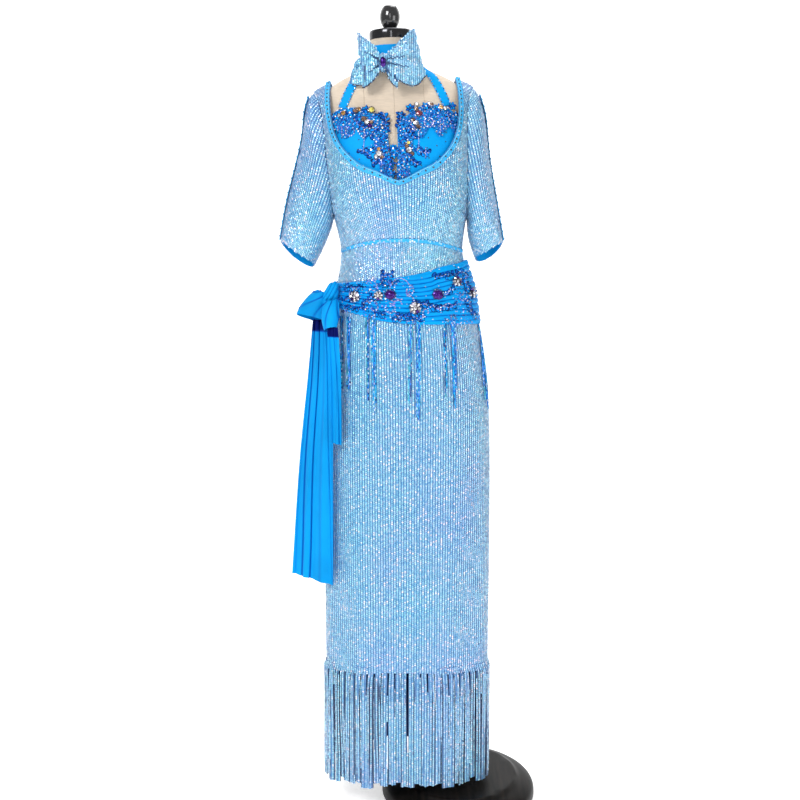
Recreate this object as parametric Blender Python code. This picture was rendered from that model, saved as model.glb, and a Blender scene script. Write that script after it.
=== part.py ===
"""Belly dance dress on a limbless dress form.

The dress, its halter bra top, neck bow, hip sash, tassels and fringe are cloth walls worked out from one
table of body sections. They are drawn upright in a frame whose z is the height above the floor, whose x is 0
on the form's middle line and whose y is negative towards the front. lean() then sets each point over the
round base, where the form leans a few degrees on its pole. All sizes are in metres.
"""
import math
from collections import namedtuple

import bmesh
import bpy
from mathutils import Vector

# Stand and lean
SKIRT_X = -0.115
LEAN = math.radians(3.0)
LEAN_START = 0.85
LEAN_FULL = 1.12
SHOULDER_TILT = 0.030
BASE_RADIUS = 0.172
BASE_HEIGHT = 0.048
POLE_RADIUS = 0.014
POLE_TOP_X = -0.085
FORM_BOTTOM = 0.80
NECK_TOP = 1.640
CAP_HEIGHT = 0.019
CAP_RADIUS = 0.0445
KNOB_RADIUS = 0.0205

# Cloth
CLOTH = 0.0015
TRIM = 0.0012
SEAM = 0.0003
LIFT = 0.0006

# Dress levels
WAIST_SIDE = 1.215
WAIST_RISE = 0.025
HEM = 0.330
HEM_SIDE_DROP = 0.014
UNDERARM = 1.280
SHOULDER = 1.543
NECK_POINT = 1.5605
ARMHOLE_DEPTH = 0.056
BINDING_WIDTH = 0.010

HALF_COLUMNS = 9
FRONT_CENTRE = (1.240, 1.275, 1.312, 1.350)
BACK_CENTRE = (1.215, 1.275, 1.340, 1.412, 1.492)
FORM_SIDES = 24
SHOULDER_GAP = 0.0120
ARMHOLE_STEPS = 8

Section = namedtuple("Section", "level half_width front back squareness ease")
SECTIONS = [
    Section(0.330, 0.1772, 0.116, 0.118, 2.50, 0.010),
    Section(0.600, 0.1780, 0.117, 0.120, 2.50, 0.010),
    Section(0.800, 0.1765, 0.119, 0.123, 2.45, 0.012),
    Section(0.900, 0.1740, 0.120, 0.125, 2.40, 0.009),
    Section(1.000, 0.1640, 0.121, 0.127, 2.30, 0.006),
    Section(1.050, 0.1575, 0.118, 0.125, 2.20, 0.0028),
    Section(1.100, 0.1490, 0.112, 0.117, 2.20, 0.005),
    Section(1.147, 0.1400, 0.104, 0.104, 2.20, 0.006),
    Section(1.180, 0.1300, 0.096, 0.094, 2.20, 0.006),
    Section(1.215, 0.1255, 0.090, 0.086, 2.20, 0.006),
    Section(1.250, 0.1295, 0.096, 0.084, 2.20, 0.006),
    Section(1.280, 0.1365, 0.107, 0.086, 2.20, 0.008),
    Section(1.330, 0.1460, 0.122, 0.091, 2.20, 0.015),
    Section(1.380, 0.1510, 0.130, 0.096, 2.25, 0.017),
    Section(1.420, 0.1545, 0.124, 0.099, 2.30, 0.016),
    Section(1.460, 0.1580, 0.106, 0.098, 2.30, 0.0135),
    Section(1.500, 0.1640, 0.083, 0.088, 2.20, 0.0105),
    Section(1.520, 0.1655, 0.073, 0.079, 2.10, 0.0080),
    Section(1.535, 0.1650, 0.064, 0.070, 2.05, 0.0060),
    Section(1.543, 0.1630, 0.060, 0.065, 2.00, 0.0045),
    Section(1.552, 0.1480, 0.056, 0.061, 2.00, 0.0035),
    Section(1.5605, 0.1270, 0.053, 0.057, 2.00, 0.0024),
    Section(1.568, 0.1030, 0.051, 0.054, 2.00, 0.0020),
    Section(1.576, 0.0790, 0.050, 0.051, 2.00, 0.0010),
    Section(1.587, 0.0590, 0.048, 0.049, 2.00, 0.0),
    Section(1.602, 0.0485, 0.046, 0.047, 2.00, 0.0),
    Section(1.620, 0.0445, 0.0440, 0.0445, 2.00, 0.0),
    Section(1.640, 0.0430, 0.0430, 0.0430, 2.00, 0.0),
]

# Necklines, from the middle (share 0) to the neck point on the shoulder (share 1)
Edge = namedtuple("Edge", "share x level")
FRONT_NECKLINE = [
    Edge(0.00, 0.0000, 1.350), Edge(0.08, 0.0240, 1.359), Edge(0.17, 0.0500, 1.372), Edge(0.27, 0.0780, 1.390),
    Edge(0.37, 0.1030, 1.413), Edge(0.47, 0.1190, 1.440), Edge(0.60, 0.1275, 1.474), Edge(0.75, 0.1295, 1.515),
    Edge(0.88, 0.1290, 1.540), Edge(1.00, 0.1270, NECK_POINT),
]
BACK_NECKLINE = [
    Edge(0.00, 0.000, 1.492), Edge(0.25, 0.045, 1.496), Edge(0.50, 0.088, 1.510), Edge(0.68, 0.112, 1.528),
    Edge(0.86, 0.122, 1.545), Edge(1.00, 0.127, NECK_POINT),
]

# Sleeve stations from the armhole to the cuff: the overarm edge, the underarm edge and half the depth
Station = namedtuple("Station", "share over_x over_z under_x under_z depth")
LEFT_SLEEVE = [
    Station(0.10, 0.1735, 1.5365, 0.1395, 1.2760, 0.0580),
    Station(0.22, 0.1850, 1.5050, 0.1405, 1.2720, 0.0560),
    Station(0.36, 0.1895, 1.4700, 0.1420, 1.2660, 0.0530),
    Station(0.52, 0.2005, 1.4250, 0.1455, 1.2570, 0.0490),
    Station(0.68, 0.2170, 1.3720, 0.1510, 1.2455, 0.0440),
    Station(0.84, 0.2350, 1.3150, 0.1620, 1.2235, 0.0390),
    Station(1.00, 0.2535, 1.2385, 0.1840, 1.1890, 0.0340),
]
RIGHT_SLEEVE = [
    Station(0.10, 0.1745, 1.5300, 0.1385, 1.2760, 0.0580),
    Station(0.22, 0.1840, 1.4950, 0.1385, 1.2720, 0.0560),
    Station(0.36, 0.1870, 1.4580, 0.1388, 1.2660, 0.0530),
    Station(0.52, 0.1900, 1.4050, 0.1390, 1.2570, 0.0490),
    Station(0.68, 0.1975, 1.3500, 0.1395, 1.2460, 0.0440),
    Station(0.84, 0.2055, 1.2940, 0.1425, 1.2300, 0.0390),
    Station(1.00, 0.2130, 1.2370, 0.1520, 1.2025, 0.0340),
]
CUFF_BACK_DIP = 0.022
FACING_SHARE = 0.90
FACING_TUCK = 0.0028
OVERARM_HALF_ANGLE = 0.30

# Soft upright folds of the skirt: where, how wide and how deep each is at the hem
Fold = namedtuple("Fold", "angle width depth")
SKIRT_FOLDS = [
    Fold(-74, 12, 0.0060), Fold(-47, 11, -0.0045), Fold(-25, 12, 0.0040), Fold(-3, 13, -0.0050),
    Fold(20, 12, 0.0045), Fold(44, 12, -0.0050), Fold(70, 12, 0.0055), Fold(104, 13, -0.0055),
    Fold(131, 12, 0.0065), Fold(157, 13, -0.0060), Fold(182, 12, 0.0070), Fold(208, 13, -0.0060),
    Fold(234, 12, 0.0060), Fold(260, 12, -0.0050),
]
FOLD_TOP = 1.02

# Bra cups, as x and levels of the top and lower edges from the middle gap outwards
Cup = namedtuple("Cup", "x top low sink")
CUP = [
    Cup(0.009, 1.466, 1.350, 0.0105), Cup(0.028, 1.482, 1.338, 0.0085), Cup(0.052, 1.500, 1.332, 0.0074),
    Cup(0.080, 1.504, 1.330, 0.0072), Cup(0.108, 1.502, 1.338, 0.0070), Cup(0.134, 1.478, 1.368, 0.0075),
]
CUP_CLOSING = 0.0060
CUP_THICKNESS = 0.0029
LACE_COLUMNS = 22
LACE_ROWS = 2
LACE_SCALLOPS = 5
LACE_TURN = 0.34
BRA_SHIFT = -0.006
CUP_COLUMNS = 9
CUP_ROWS = 7
BRIDGE_TOP = 1.426
BRIDGE_LOW = 1.402
# Halter straps on the chest: from the cup's top edge to the neck band
STRAP_WIDTH = 0.019
STRAP_GAP = 0.0012
Path = namedtuple("Path", "share x level")
LEFT_STRAP = [
    Path(0.0, -0.105, 1.5055), Path(0.35, -0.0975, 1.522), Path(0.7, -0.0880, 1.545), Path(1.0, -0.0760, 1.5655),
]
RIGHT_STRAP = [
    Path(0.0, 0.107, 1.5055), Path(0.35, 0.0980, 1.522), Path(0.7, 0.0870, 1.548), Path(1.0, 0.0720, 1.5690),
]
BAND_LOW = 1.588
BAND_TOP = 1.626

# Hip sash: its edges round the hip, angle 0 at the front, 90 at the viewer's right, and how far it stands off
SashEdge = namedtuple("SashEdge", "angle top low stand")
SASH = [
    SashEdge(-180, 1.168, 1.084, 0.0), SashEdge(-120, 1.154, 1.098, 0.0), SashEdge(-90, 1.150, 1.104, 0.0),
    SashEdge(-72, 1.150, 1.101, 0.0), SashEdge(-40, 1.155, 1.091, 0.0), SashEdge(-18, 1.161, 1.079, 0.0),
    SashEdge(0, 1.166, 1.073, 0.0), SashEdge(20, 1.176, 1.071, 0.0), SashEdge(36, 1.186, 1.070, 0.001),
    SashEdge(60, 1.191, 1.068, 0.003), SashEdge(90, 1.196, 1.063, 0.006), SashEdge(135, 1.184, 1.070, 0.003),
    SashEdge(180, 1.168, 1.084, 0.0),
]
SASH_GAP = 0.0016
SASH_PLEATS = 6
PLEAT_DEPTH = 0.0034
SASH_COLUMNS = 36

# Fringe
HEM_STRANDS = 34
STRAND_SHARE = 0.76
FRINGE_BAND = 0.012
FRINGE_THICK = 0.0016
TASSEL_LAP = 0.004
TASSEL_DROPS = ((0.33, 0.0038), (1.0, 0.0))
FRINGE_END_FRONT = 0.066
FRINGE_END_SIDE = 0.056
Tassel = namedtuple("Tassel", "angle end_angle spread drop strands")
TASSELS = [
    Tassel(-50.5, -44.5, 7.0, 0.160, 6), Tassel(-24.5, -21.0, 8.5, 0.190, 7), Tassel(4.0, 1.5, 9.0, 0.190, 8),
    Tassel(31.0, 24.0, 9.0, 0.170, 7), Tassel(69.0, 58.0, 10.0, 0.176, 7),
]


def between(rows, at):
    """A table's row at a place between its rows, on a smooth curve through them."""
    last = len(rows) - 1
    at = min(max(at, rows[0][0]), rows[last][0])
    k = next(i for i in range(last) if rows[i + 1][0] >= at)
    here, following = rows[k], rows[k + 1]
    before, after = rows[max(k - 1, 0)], rows[min(k + 2, last)]
    span = following[0] - here[0]
    t = (at - here[0]) / span

    def mixed(c):
        leaving = (following[c] - before[c]) / (following[0] - before[0]) * span
        arriving = (after[c] - here[c]) / (after[0] - here[0]) * span
        return (
            (2 * t**3 - 3 * t**2 + 1) * here[c]
            + (t**3 - 2 * t**2 + t) * leaving
            + (3 * t**2 - 2 * t**3) * following[c]
            + (t**3 - t**2) * arriving
        )

    return type(here)(at, *(mixed(c) for c in range(1, len(here))))


def steps(first, last, count):
    """Evenly spaced values from first to last, count intervals apart."""
    return [first + (last - first) * i / count for i in range(count + 1)]


def smooth(t):
    t = min(max(t, 0.0), 1.0)
    return t * t * (3 - 2 * t)


def lean(p):
    """Sets a point of the upright design over the base, on the form's leaning middle line."""
    span = LEAN_FULL - LEAN_START
    t = min(max((p.z - LEAN_START) / span, 0.0), 1.0)
    drift = LEAN * (span * (t**3 - t**4 / 2) + max(0.0, p.z - LEAN_FULL))
    tilt = SHOULDER_TILT * smooth((p.z - 1.30) / 0.20)
    return Vector((SKIRT_X - drift + p.x, p.y, p.z + p.x * tilt))


# Meshes
def material(name, colour, roughness, metallic=0.0):
    made = bpy.data.materials.get(name)
    if made is None:
        made = bpy.data.materials.new(name)
        made.use_nodes = True
        shader = made.node_tree.nodes["Principled BSDF"]
        shader.inputs["Base Color"].default_value = (*colour, 1.0)
        shader.inputs["Roughness"].default_value = roughness
        shader.inputs["Metallic"].default_value = metallic
    return made


def finish(name, bm, mat, flat=False):
    """Makes the named object from a closed mesh."""
    bmesh.ops.recalc_face_normals(bm, faces=bm.faces)
    if bm.calc_volume(signed=True) < 0:
        bmesh.ops.reverse_faces(bm, faces=bm.faces)
    mesh = bpy.data.meshes.new(name)
    bm.to_mesh(mesh)
    bm.free()
    if not flat:
        mesh.shade_smooth()
        mesh.set_sharp_from_angle(angle=math.radians(50))
    mesh.materials.append(mat)
    made = bpy.data.objects.new(name, mesh)
    bpy.context.scene.collection.objects.link(made)
    return made


def grid_normals(grid, closed):
    """Unit normals of a grid of points whose columns run round and whose rows run up."""
    rows, columns = len(grid), len(grid[0])
    normals = []
    for i in range(rows):
        line = []
        for j in range(columns):
            if closed:
                right, left = grid[i][(j + 1) % columns], grid[i][j - 1]
            else:
                right, left = grid[i][min(j + 1, columns - 1)], grid[i][max(j - 1, 0)]
            up, down = grid[min(i + 1, rows - 1)][j], grid[max(i - 1, 0)][j]
            line.append((right - left).cross(up - down).normalized())
        normals.append(line)
    return normals


def moved(grid, out, closed=False):
    """The grid's points moved out along its normals, or in where out is negative."""
    normals = grid_normals(grid, closed)
    return [[p + n * out for p, n in zip(line, facing)] for line, facing in zip(grid, normals)]


def off_body(grid, out):
    """The grid's points moved out from the body, or in where out is negative."""
    return [[p + outward(p) * out for p in line] for line in grid]


def shell(name, outer, inner, mat, closed=False):
    """A closed wall between two grids of the same size, split into triangles alike on both sides."""
    bm = bmesh.new()
    front = [[bm.verts.new(lean(p)) for p in line] for line in outer]
    back = [[bm.verts.new(lean(p)) for p in line] for line in inner]
    rows, columns = len(front), len(front[0])
    spans = range(columns if closed else columns - 1)
    for side, turn in ((front, 1), (back, -1)):
        for i in range(rows - 1):
            for j in spans:
                k = (j + 1) % columns
                a, b, c, d = side[i][j], side[i][k], side[i + 1][k], side[i + 1][j]
                bm.faces.new((a, b, c)[::turn])
                bm.faces.new((a, c, d)[::turn])
    for i in (0, rows - 1):
        for j in spans:
            k = (j + 1) % columns
            bm.faces.new((front[i][j], front[i][k], back[i][k], back[i][j]))
    if not closed:
        for j in (0, columns - 1):
            for i in range(rows - 1):
                bm.faces.new((front[i][j], front[i + 1][j], back[i + 1][j], back[i][j]))
    return finish(name, bm, mat)


def wall(name, grid, thickness, mat, closed=False):
    """A free-standing cloth wall whose outer face is the grid."""
    return shell(name, grid, moved(grid, -thickness, closed), mat, closed)


def panel(name, grid, thickness, mat):
    """A cloth wall that follows the body, its outer face the grid."""
    return shell(name, grid, off_body(grid, -thickness), mat)


def patch(name, grid, lift, thickness, mat, closed=False):
    """A piece that lies on a panel: made from the panel's points, moved out."""
    return shell(name, off_body(grid, lift + thickness), off_body(grid, lift), mat, closed)


def skin(name, points, faces, thickness, mat):
    """A cloth wall under any sheet of four-cornered faces that lies on the body."""
    bm = bmesh.new()
    front = [bm.verts.new(lean(p)) for p in points]
    back = [bm.verts.new(lean(p - outward(p) * thickness)) for p in points]
    sides = set()
    for a, b, c, d in faces:
        for corners in ((a, b, c), (a, c, d)):
            bm.faces.new([front[i] for i in corners])
            bm.faces.new([back[i] for i in corners[::-1]])
        sides |= {(a, b), (b, c), (c, d), (d, a)}
    for i, j in sides:
        if (j, i) not in sides:
            bm.faces.new((front[j], front[i], back[i], back[j]))
    return finish(name, bm, mat)


def stack(name, rings, mat, leaning=True):
    """A whole solid through rings of points, closed by a flat cap at each end."""
    bm = bmesh.new()
    made = [[bm.verts.new(lean(p) if leaning else p) for p in ring] for ring in rings]
    count = len(rings[0])
    for lower, upper in zip(made, made[1:]):
        for j in range(count):
            k = (j + 1) % count
            bm.faces.new((lower[j], lower[k], upper[k], upper[j]))
    bm.faces.new(made[0][::-1])
    bm.faces.new(made[-1])
    return finish(name, bm, mat)


def turned(name, centre, profile, mat, sides=24, leaning=True):
    """A turned piece on an upright axis, from a profile of radii and heights."""
    angles = [2 * math.pi * j / sides for j in range(sides)]
    rings = [
        [centre + Vector((r * math.cos(a), r * math.sin(a), h)) for a in angles] for r, h in profile
    ]
    return stack(name, rings, mat, leaning)


def fringe(name, top, bottom, ends, drops, thickness, mat):
    """A narrow strip whose every second column runs on down into a strand with its own end point.

    The drops are shares of the way to that end, each with how far the strand stands out there.
    """
    bm = bmesh.new()

    def pair(p, facing):
        return bm.verts.new(lean(p)), bm.verts.new(lean(p - facing * thickness))

    def facing(line, j):
        along = line[min(j + 1, len(line) - 1)] - line[max(j - 1, 0)]
        return along.cross(Vector((0, 0, 1))).normalized()

    upper = [pair(p, facing(top, j)) for j, p in enumerate(top)]
    lower = [pair(p, facing(bottom, j)) for j, p in enumerate(bottom)]
    for j in range(len(top) - 1):
        (a, a2), (b, b2), (c, c2), (d, d2) = upper[j], upper[j + 1], lower[j + 1], lower[j]
        bm.faces.new((d, c, b, a))
        bm.faces.new((a2, b2, c2, d2))
        bm.faces.new((a, b, b2, a2))
        if j % 2:
            bm.faces.new((d, d2, c2, c))
            continue
        ring = [d, c, c2, d2]
        for share, swell in drops:
            facing_here = facing(bottom, j)
            shift = (ends[j // 2] - (bottom[j] + bottom[j + 1]) / 2) * share + facing_here * swell
            points = [bottom[j] + shift, bottom[j + 1] + shift]
            corners = [points[0], points[1], points[1] - facing_here * thickness, points[0] - facing_here * thickness]
            following = [bm.verts.new(lean(p)) for p in corners]
            for k in range(4):
                m = (k + 1) % 4
                bm.faces.new((ring[k], following[k], following[m], ring[m]))
            ring = following
        bm.faces.new(ring)
    for j in (0, len(top) - 1):
        bm.faces.new((upper[j][0], upper[j][1], lower[j][1], lower[j][0]))
    bmesh.ops.triangulate(bm, faces=bm.faces)
    return finish(name, bm, mat, flat=True)


# The body that every cloth piece follows
def body(theta, level, inset=0.0):
    """A point of the garment's outer surface, theta round from the front's middle towards the viewer's right."""
    s = between(SECTIONS, level)
    power = 2 / s.squareness
    width, depth = s.half_width - inset, (s.front if math.cos(theta) > 0 else s.back) - inset
    x = math.copysign(width * abs(math.sin(theta)) ** power, math.sin(theta))
    y = -math.copysign(depth * abs(math.cos(theta)) ** power, math.cos(theta))
    return Vector((x, y, level))


def field(p):
    """How far out of the body a point is, 1 on it, and how fast that grows."""
    def size(level):
        s = between(SECTIONS, level)
        depth = s.front if p.y < 0 else s.back
        return (abs(p.x) / s.half_width) ** s.squareness + (abs(p.y) / depth) ** s.squareness

    s = between(SECTIONS, p.z)
    depth = s.front if p.y < 0 else s.back
    slope_x = math.copysign((abs(p.x) / s.half_width) ** (s.squareness - 1) / s.half_width, p.x) * s.squareness
    slope_y = math.copysign((abs(p.y) / depth) ** (s.squareness - 1) / depth, p.y) * s.squareness
    slope_z = (size(p.z + 0.002) - size(p.z - 0.002)) / 0.004
    return size(p.z), Vector((slope_x, slope_y, slope_z))


def outward(p):
    """The direction straight out of the body at a point on it or near it."""
    return field(p)[1].normalized()


def onto_body(p):
    """The point of the body's surface nearest to a point near it."""
    for _ in range(4):
        size, slope = field(p)
        p = p - slope * (size - 1) / slope.length_squared
    return p


def form(theta, level):
    """A point of the form's own surface, clear of the cloth and lower than it on the shoulders."""
    rise = SHOULDER_GAP * smooth((level - 1.47) / 0.03) * smooth((1.575 - level) / 0.04)
    s = between(SECTIONS, level)
    p = body(theta, level + rise, s.ease)
    return Vector((p.x, p.y, level))


def angle_at(x, level, inset=0.0):
    """The front angle at which the body is x from its middle line."""
    s = between(SECTIONS, level)
    share = min(abs(x) / (s.half_width - inset), 1.0)
    return math.copysign(math.asin(share ** (s.squareness / 2)), x)


def armhole_half_depth(level):
    """How far the armhole opens in front of and behind the side seam."""
    middle, half = (UNDERARM + SHOULDER) / 2, (SHOULDER - UNDERARM) / 2
    reach = 1 - ((level - middle) / half) ** 2
    return ARMHOLE_DEPTH * math.sqrt(max(reach, 0.0))


def side_angle(level, back):
    """The angle of a panel's side edge: the side seam, or the armhole's edge."""
    s = between(SECTIONS, level)
    depth = s.back if back else s.front
    return math.acos((armhole_half_depth(level) / depth) ** (s.squareness / 2))


def waist_level(theta):
    return WAIST_SIDE + WAIST_RISE * max(math.cos(theta), 0.0) ** 2


def armhole_levels():
    middle, half = (UNDERARM + SHOULDER) / 2, (SHOULDER - UNDERARM) / 2
    return [middle - half * math.cos(math.pi * k / ARMHOLE_STEPS) for k in range(ARMHOLE_STEPS + 1)]


def bodice_rows(neckline, centre_levels, back):
    """Each row's angle and level at the middle line or the neckline, and then at the side edge."""
    side_levels = [WAIST_SIDE, 1.247, *armhole_levels()]
    split, last = len(centre_levels) - 1, len(side_levels) - 1
    rows = []
    for i, side_level in enumerate(side_levels):
        inner = (0.0, centre_levels[min(i, split)])
        if i > split:
            edge = between(neckline, (i - split) / (last - split))
            inner = (angle_at(edge.x, edge.level), edge.level)
        rows.append((inner, (side_angle(side_level, back), side_level)))
    return rows


def bodice_half(rows, side, back):
    """Outer points of half a bodice panel, each row from its middle or neckline end to its side edge."""
    gap = Vector((0, SEAM / 2 if back else -SEAM / 2, 0))
    grid = []
    for i, ((angle, level), (side_angle_here, side_level)) in enumerate(rows):
        line = []
        for t in steps(0, 1, HALF_COLUMNS):
            theta = angle + (side_angle_here - angle) * t
            theta = math.pi - theta if back else theta
            height = level + (side_level - level) * t if i else waist_level(theta)
            line.append(body(side * theta, height) + gap)
        grid.append(line)
    return grid


def bodice(name, neckline, centre_levels, back, mat):
    """Makes one bodice panel and returns its halves, which part where the neckline starts."""
    rows = bodice_rows(neckline, centre_levels, back)
    halves = {side: bodice_half(rows, side, back) for side in (-1, 1)}
    points, faces = [], []
    index = {}
    for side, grid in halves.items():
        for i, line in enumerate(grid):
            for j, p in enumerate(line):
                shared = j == 0 and i < len(centre_levels)
                key = (0 if shared else side, i, j)
                if key not in index:
                    index[key] = len(points)
                    points.append(p)
                index[(side, i, j)] = index[key]
        for i in range(len(grid) - 1):
            for j in range(HALF_COLUMNS):
                corners = ((i, j), (i, j + 1), (i + 1, j + 1), (i + 1, j))
                face = [index[(side, *corner)] for corner in corners]
                faces.append(face if side > 0 else face[::-1])
    skin(name, points, faces if not back else [face[::-1] for face in faces], CLOTH, mat)
    return halves


def skirt_out(theta, level):
    """How far the skirt's folds stand out or in at an angle and a level."""
    growth = smooth((FOLD_TOP - level) / (FOLD_TOP - HEM))
    total = 0.0
    for fold in SKIRT_FOLDS:
        away = (math.degrees(theta) - fold.angle + 180) % 360 - 180
        total += fold.depth * math.exp(-((away / fold.width) ** 2))
    return total * growth


def hem_level(theta):
    return HEM - HEM_SIDE_DROP * math.sin(theta) ** 2


def skirt_point(theta, level):
    p = body(theta, level)
    return p + Vector((p.x, p.y, 0)).normalized() * skirt_out(theta, level)


def skirt_grid(back):
    """Outer points of the front or back skirt, from the hem to the waist seam."""
    start = math.pi / 2 if back else -math.pi / 2
    shares = [0.0, 0.20, 0.40, 0.56, 0.68, 0.76, 0.82, 0.87, 0.92, 0.96, 1.0]
    gap = Vector((0, SEAM / 2 if back else -SEAM / 2, 0))
    grid = []
    for v in shares:
        line = []
        for theta in steps(start, start + math.pi, SASH_COLUMNS // 2):
            low, high = hem_level(theta), waist_level(theta) - SEAM
            line.append(skirt_point(theta, low + (high - low) * v) + gap)
        grid.append(line)
    return grid


def sleeve_grid(stations, side, front_edge, back_edge):
    """Outer points of a sleeve. Its first ring follows the armhole edges, shoulder first and round by the front."""
    around = [2 * math.pi * k / (2 * ARMHOLE_STEPS) for k in range(2 * ARMHOLE_STEPS)]
    seam = Vector((side * 4 * SEAM, 0, 0))
    top = (front_edge[-1] + back_edge[-1]) / 2
    low = (front_edge[0] + back_edge[0]) / 2
    first = [top, *front_edge[-2:0:-1], low, *back_edge[1:-1]]
    grid = [[p + seam for p in first]]
    for station in stations:
        grid.append([sleeve_point(station, side, a) for a in around])
    return grid if side > 0 else [[line[-k] for k in range(len(line))] for line in grid]


def sleeve_point(station, side, angle):
    """A point round a sleeve: angle 0 on the overarm edge, a quarter turn on the front."""
    over = Vector((station.over_x, 0, station.over_z))
    under = Vector((station.under_x, 0, station.under_z))
    p = (over + under) / 2 + (over - under) / 2 * math.cos(angle)
    bulge = math.copysign(abs(math.sin(angle)) ** 0.85, math.sin(angle))
    p.y = -station.depth * bulge
    if angle > math.pi:
        p.z += CUFF_BACK_DIP * bulge * smooth((station.share - 0.5) / 0.5)
    p.x *= side
    return p


# Materials
def materials():
    return {
        "sequin": material("sequin cloth", (0.36, 0.57, 0.87), 0.35, 0.2),
        "blue": material("blue satin", (0.0, 0.33, 0.83), 0.45),
        "trim": material("blue binding", (0.05, 0.42, 0.80), 0.5),
        "lace": material("lace applique", (0.01, 0.12, 0.58), 0.6),
        "bead": material("bead strings", (0.02, 0.25, 0.60), 0.25, 0.3),
        "gem": material("purple gem", (0.14, 0.0, 0.38), 0.08),
        "crystal": material("crystal cluster", (0.75, 0.68, 0.66), 0.1, 0.4),
        "linen": material("form linen", (0.70, 0.58, 0.45), 0.85),
        "black": material("black lacquer", (0.01, 0.01, 0.01), 0.2),
        "wood": material("dark wood", (0.02, 0.015, 0.012), 0.45),
        "steel": material("pole steel", (0.5, 0.5, 0.5), 0.3, 1.0),
    }


# The stand and the form
def build_stand(mats):
    foot = [
        (BASE_RADIUS - 0.010, 0.0), (BASE_RADIUS, 0.006), (BASE_RADIUS, 0.020), (BASE_RADIUS - 0.006, 0.030),
        (BASE_RADIUS - 0.022, 0.037), (BASE_RADIUS - 0.034, 0.040), (BASE_RADIUS - 0.037, 0.043),
        (BASE_RADIUS - 0.042, BASE_HEIGHT),
    ]
    turned("stand_base", Vector((0, 0, 0)), foot, mats["wood"], sides=36, leaning=False)
    low = Vector((0, 0, BASE_HEIGHT + SEAM))
    high = Vector((POLE_TOP_X, 0, FORM_BOTTOM - SEAM))
    circle = [2 * math.pi * j / 16 for j in range(16)]
    rings = [[p + Vector((math.cos(a), math.sin(a), 0)) * POLE_RADIUS for a in circle] for p in (low, high)]
    stack("stand_pole", rings, mats["steel"], leaning=False)


def build_form(mats):
    levels = [
        FORM_BOTTOM, 0.84, 0.90, 0.96, 1.01, 1.06, 1.10, 1.14, 1.18, 1.215, 1.26, 1.31, 1.36, 1.40, 1.44, 1.48,
        1.508, 1.525, 1.537, 1.548, 1.558, 1.568, 1.578, 1.590, 1.604, 1.622, NECK_TOP,
    ]
    angles = steps(0, 2 * math.pi, FORM_SIDES)[:-1]
    stack("form_torso", [[form(a, z) for a in angles] for z in levels], mats["linen"])
    cap_low = NECK_TOP + SEAM
    cap = [
        (CAP_RADIUS, 0.0), (CAP_RADIUS, CAP_HEIGHT - 0.003), (CAP_RADIUS - 0.003, CAP_HEIGHT),
        (0.012, CAP_HEIGHT + 0.002),
    ]
    turned("neck_cap", Vector((0, 0, cap_low)), cap, mats["black"])
    knob_low = cap_low + CAP_HEIGHT + 0.002 + SEAM
    start = math.radians(-70)
    knob = [(0.0085, 0.0), (0.0075, 0.003)]
    for tilt in steps(start, math.radians(80), 6):
        knob.append((KNOB_RADIUS * math.cos(tilt), 0.004 + KNOB_RADIUS * (1 + math.sin(tilt))))
    turned("neck_knob", Vector((0, 0, knob_low)), knob, mats["black"], sides=16)


# The dress
def edge_strip(line, width):
    """Rows of points on the body below an edge, as far as the width of its binding."""
    last = len(line) - 1
    rows = []
    for share in (1.0, 0.5, 0.0):
        row = []
        for j, p in enumerate(line):
            along = line[min(j + 1, last)] - line[max(j - 1, 0)]
            if j in (0, last):
                along.y = math.copysign(1.0, along.y)
                along.x = along.z = 0.0
            down = along.cross(outward(p)).normalized()
            row.append(onto_body(p + down * width * share))
        rows.append(row)
    return rows


def build_dress(mats):
    front = bodice("bodice_front", FRONT_NECKLINE, FRONT_CENTRE, False, mats["sequin"])
    back = bodice("bodice_back", BACK_NECKLINE, BACK_CENTRE, True, mats["sequin"])
    necklines = (("front", front, len(FRONT_CENTRE) - 1, 3), ("back", back, len(BACK_CENTRE) - 1, 5))
    for name, halves, split, lifts in necklines:
        left = [line[0] for line in halves[-1][split:]]
        right = [line[0] for line in halves[1][split + 1 :]]
        edge = left[::-1] + right
        strip = edge_strip(edge if name == "front" else edge[::-1], BINDING_WIDTH)
        patch("neck_binding_" + name, strip, lifts * LIFT, TRIM, mats["trim"])
    for side, sign, stations in (("left", -1, LEFT_SLEEVE), ("right", 1, RIGHT_SLEEVE)):
        front_edge = [line[-1] for line in front[sign][2:]]
        back_edge = [line[-1] for line in back[sign][2:]]
        grid = sleeve_grid(stations, sign, front_edge, back_edge)
        wall("sleeve_" + side, grid, CLOTH, mats["sequin"], closed=True)
        build_cuff_facing(side, sign, stations, mats)
        build_overarm_trim(side, sign, stations, mats)
    for name, is_back in (("skirt_front", False), ("skirt_back", True)):
        panel(name, skirt_grid(is_back), CLOTH, mats["sequin"])
    angles = steps(0, 2 * math.pi, SASH_COLUMNS)[:-1]
    rows = (-0.0035, 0.0035)
    band = [[body(a, waist_level(a) + z) for a in angles] for z in rows]
    patch("waist_band", band, 2 * LIFT, TRIM, mats["trim"], closed=True)


def build_cuff_facing(side, sign, stations, mats):
    """The satin facing turned up inside the cuff."""
    around = [2 * math.pi * k / (2 * ARMHOLE_STEPS) for k in range(2 * ARMHOLE_STEPS)]
    grid = []
    for share in (FACING_SHARE, 0.95, 1.0):
        station = between(stations, share)
        grid.append([sleeve_point(station, sign, a) for a in around])
    if sign < 0:
        grid = [[line[-k] for k in range(len(line))] for line in grid]
    inner = moved(grid, -FACING_TUCK - TRIM, closed=True)
    shell("cuff_facing_" + side, moved(grid, -FACING_TUCK, closed=True), inner, mats["blue"], closed=True)


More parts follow.
